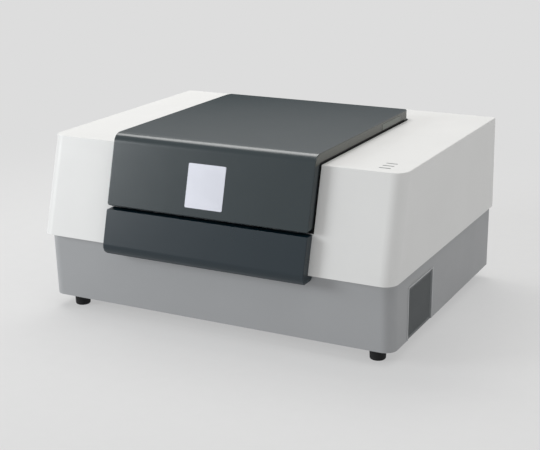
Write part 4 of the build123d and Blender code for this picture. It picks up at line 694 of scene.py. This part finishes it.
def addIndicators(look):
    windows = []
    for low, high in solidBoxes("indicator_windows"):
        size = high - low
        top = whiteTop - look["below"]
        middle = (low + high) / 2
        window = newBox((middle.x, middle.y, (low.z + top) / 2), (size.x, size.y, top - low.z))
        editEdges(window, lambda edge: abs(edge.verts[0].co.z - edge.verts[1].co.z) > 0.001)
        bpy.ops.mesh.bevel(offset=size.y * look["rounding"], segments=8, affect="EDGES")
        editFaces(window, lambda face: face.normal.z > 0.9)
        bpy.ops.mesh.inset(thickness=look["rim"])
        bpy.ops.mesh.extrude_region_move(TRANSFORM_OT_translate={"value": (0, 0, -look["dish"])})
        bpy.ops.object.mode_set(mode="OBJECT")
        windows.append(window)
    node = "indicator_windows"
    finishPiece(joined(windows), "indicatorBars", indicatorGlass, "housing", (node,))


addIndicators(indicatorLook)
print("indicators made")


# Thin bead round the vent's window, open at the bottom, in a lighter grey that is a painted highlight for
# the light the window's edge catches
beadLook = {
    "width": 0.0022,
    "rise": 0.0011,
    "overlap": 0.8,
    "wall": 0.285,
    "foot": 0.0222,
    "edge": 0.0003,
}


def addBead(look):
    low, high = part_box("side_vent")
    place = (look["wall"], (low[1] + high[1]) / 2, (low[2] + high[2]) / 2)
    border = 2 * look["width"]
    bead = newBox(place, (2 * look["rise"], high[1] - low[1] + border, high[2] - low[2] + border))
    editFaces(bead, lambda face: abs(face.normal.x) > 0.9)
    bpy.ops.mesh.inset(thickness=look["width"] * look["overlap"])
    bpy.ops.mesh.delete(type="FACE")
    editEdges(bead, lambda edge: edge.is_boundary)
    bpy.ops.mesh.bridge_edge_loops()
    bpy.ops.mesh.select_all(action="SELECT")
    bpy.ops.mesh.normals_make_consistent(inside=False)
    bpy.ops.mesh.bisect(
        plane_co=(0, 0, look["foot"]),
        plane_no=(0, 0, -1),
        clear_outer=True,
        use_fill=True,
    )
    bpy.ops.object.mode_set(mode="OBJECT")
    applied(bead, "BEVEL", width=look["edge"], segments=2)
    finishPiece(bead, "ventHighlightBead", edgeHighlightPlastic, "housing")


addBead(beadLook)
print("vent bead made")


# Can capacitors in the control board's free strip, each with a scored top
canLook = {
    "places": [(0.027, 0.062), (0.027, 0.050), (0.027, -0.064)],
    "radius": 0.004,
    "height": 0.010,
    "sides": 24,
    "shoulder": 0.0006,
    "score": 0.0004,
}


# Height of the node's largest level face, the board's own surface
def boardTop(name):
    heights = {}
    for polygon in nodes[name].data.polygons:
        if polygon.normal.z > 0.9:
            height = round(polygon.center.z, 4)
            heights[height] = heights.get(height, 0) + polygon.area
    return max(heights, key=heights.get)


def addCans(look, node):
    low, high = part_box(node)
    top = boardTop(node)
    can = newRound(look["radius"], look["height"], look["sides"])
    editEdges(can, lambda edge: all(vert.co.z > 0.001 for vert in edge.verts))
    bpy.ops.mesh.bevel(offset=look["shoulder"], segments=3, affect="EDGES")
    editFaces(can, lambda face: face.normal.z > 0.95)
    bpy.ops.mesh.inset(thickness=look["shoulder"])
    bpy.ops.mesh.extrude_region_move(TRANSFORM_OT_translate={"value": (0, 0, -look["score"])})
    bpy.ops.object.mode_set(mode="OBJECT")
    middle = ((low[0] + high[0]) / 2, (low[1] + high[1]) / 2)
    places = [(middle[0] + x, middle[1] + y, top) for x, y in look["places"]]
    cans = joined(copyTo(can, places))
    finishPiece(cans, "boardCapacitors", clearAnodised, "housing")


addCans(canLook, "control_board")
print("capacitors made")


# Floor and world: one pale grey, with the object's shadow on the floor
backdropLook = {
    "grey": (0.723, 0.723, 0.723),
    "floorTone": 0.78,
    "lift": 0.6,
    "fadeFrom": 0.55,
    "fadeTo": 1.4,
    "radius": 9,
    "skyStrength": 0.30,
}


def addFloor(look):
    bpy.ops.mesh.primitive_circle_add(vertices=96, radius=look["radius"], fill_type="NGON")
    floor = bpy.context.object
    floor.name = "floor"
    material, tree, output = newMaterial("floorPale")
    coords = addNode(tree, "ShaderNodeTexCoord", (-1100, 0)).outputs["Object"]
    distance = addNode(tree, "ShaderNodeVectorMath", (-850, 0), operation="LENGTH")
    tree.links.new(coords, distance.inputs[0])
    fade = addNode(tree, "ShaderNodeMapRange", (-600, 0), interpolation_type="SMOOTHSTEP")
    fade.inputs["From Min"].default_value = look["fadeFrom"]
    fade.inputs["From Max"].default_value = look["fadeTo"]
    fade.inputs["To Min"].default_value = look["lift"]
    tree.links.new(distance.outputs["Value"], fade.inputs["Value"])
    speckle = noiseFrom(tree, coords, 40, 4, (-850, 300))
    tone = toneFrom(tree, speckle, (look["floorTone"],) * 3, 0.01, (-600, 300))
    near = addNode(tree, "ShaderNodeBsdfDiffuse", (100, 200))
    tree.links.new(tone, near.inputs["Color"])
    far = addNode(tree, "ShaderNodeEmission", (100, -100))
    far.inputs["Color"].default_value = (*look["grey"], 1)
    mix = addNode(tree, "ShaderNodeMixShader", (500, 0))
    tree.links.new(fade.outputs["Result"], mix.inputs["Fac"])
    tree.links.new(near.outputs["BSDF"], mix.inputs[1])
    tree.links.new(far.outputs["Emission"], mix.inputs[2])
    tree.links.new(mix.outputs["Shader"], output.inputs["Surface"])
    floor.data.materials.append(material)


def addWorld(look):
    world = bpy.data.worlds.new("studio")
    scene.world = world
    world.use_nodes = True
    tree = world.node_tree
    tree.nodes.clear()
    output = addNode(tree, "ShaderNodeOutputWorld", (700, 0))
    seen = addNode(tree, "ShaderNodeBackground", (200, 150))
    seen.inputs["Color"].default_value = (*look["grey"], 1)
    light = addNode(tree, "ShaderNodeBackground", (200, -100))
    light.inputs["Color"].default_value = (1, 1, 1, 1)
    light.inputs["Strength"].default_value = look["skyStrength"]
    path = addNode(tree, "ShaderNodeLightPath", (-500, 300))
    first = addNode(tree, "ShaderNodeMath", (-250, 300), operation="MAXIMUM")
    second = addNode(tree, "ShaderNodeMath", (-50, 300), operation="MAXIMUM")
    tree.links.new(path.outputs["Is Camera Ray"], first.inputs[0])
    tree.links.new(path.outputs["Is Glossy Ray"], first.inputs[1])
    tree.links.new(first.outputs["Value"], second.inputs[0])
    tree.links.new(path.outputs["Is Transmission Ray"], second.inputs[1])
    mix = addNode(tree, "ShaderNodeMixShader", (450, 0))
    tree.links.new(second.outputs["Value"], mix.inputs["Fac"])
    tree.links.new(light.outputs["Background"], mix.inputs[1])
    tree.links.new(seen.outputs["Background"], mix.inputs[2])
    tree.links.new(mix.outputs["Shader"], output.inputs["Surface"])


def addLamp(name, place, target, size, power, tint):
    bpy.ops.object.light_add(type="AREA", location=place)
    lamp = bpy.context.object
    lamp.name = name
    lamp.data.shape = "RECTANGLE"
    lamp.data.size = size[0]
    lamp.data.size_y = size[1]
    lamp.data.energy = power
    lamp.data.color = tint
    aim = Vector(target) - Vector(place)
    lamp.rotation_euler = aim.to_track_quat("-Z", "Y").to_euler()


# Each lamp: place, target, size, power and tint
lights = {
    "keyLamp": ((-2.4, -1.9, 1.0), (-0.1, -0.1, 0.2), (1.2, 1.0), 46, (0.95, 0.98, 1)),
    "topLamp": ((-0.8, 0.8, 2.3), (0, 0, 0.25), (2.2, 1.0), 36, (1, 0.99, 0.97)),
    "fillLamp": ((1.1, -0.8, 2.5), (0.05, 0, 0.2), (1.6, 1.6), 13, (1, 1, 0.99)),
    "rimLamp": ((2.4, 1.3, 0.5), (0.1, 0, 0.2), (0.3, 0.9), 1.5, (1, 1, 1)),
}
addFloor(backdropLook)
addWorld(backdropLook)
for name, (place, target, size, power, tint) in lights.items():
    addLamp(name, place, target, size, power, tint)
print("floor, world and lamps placed")
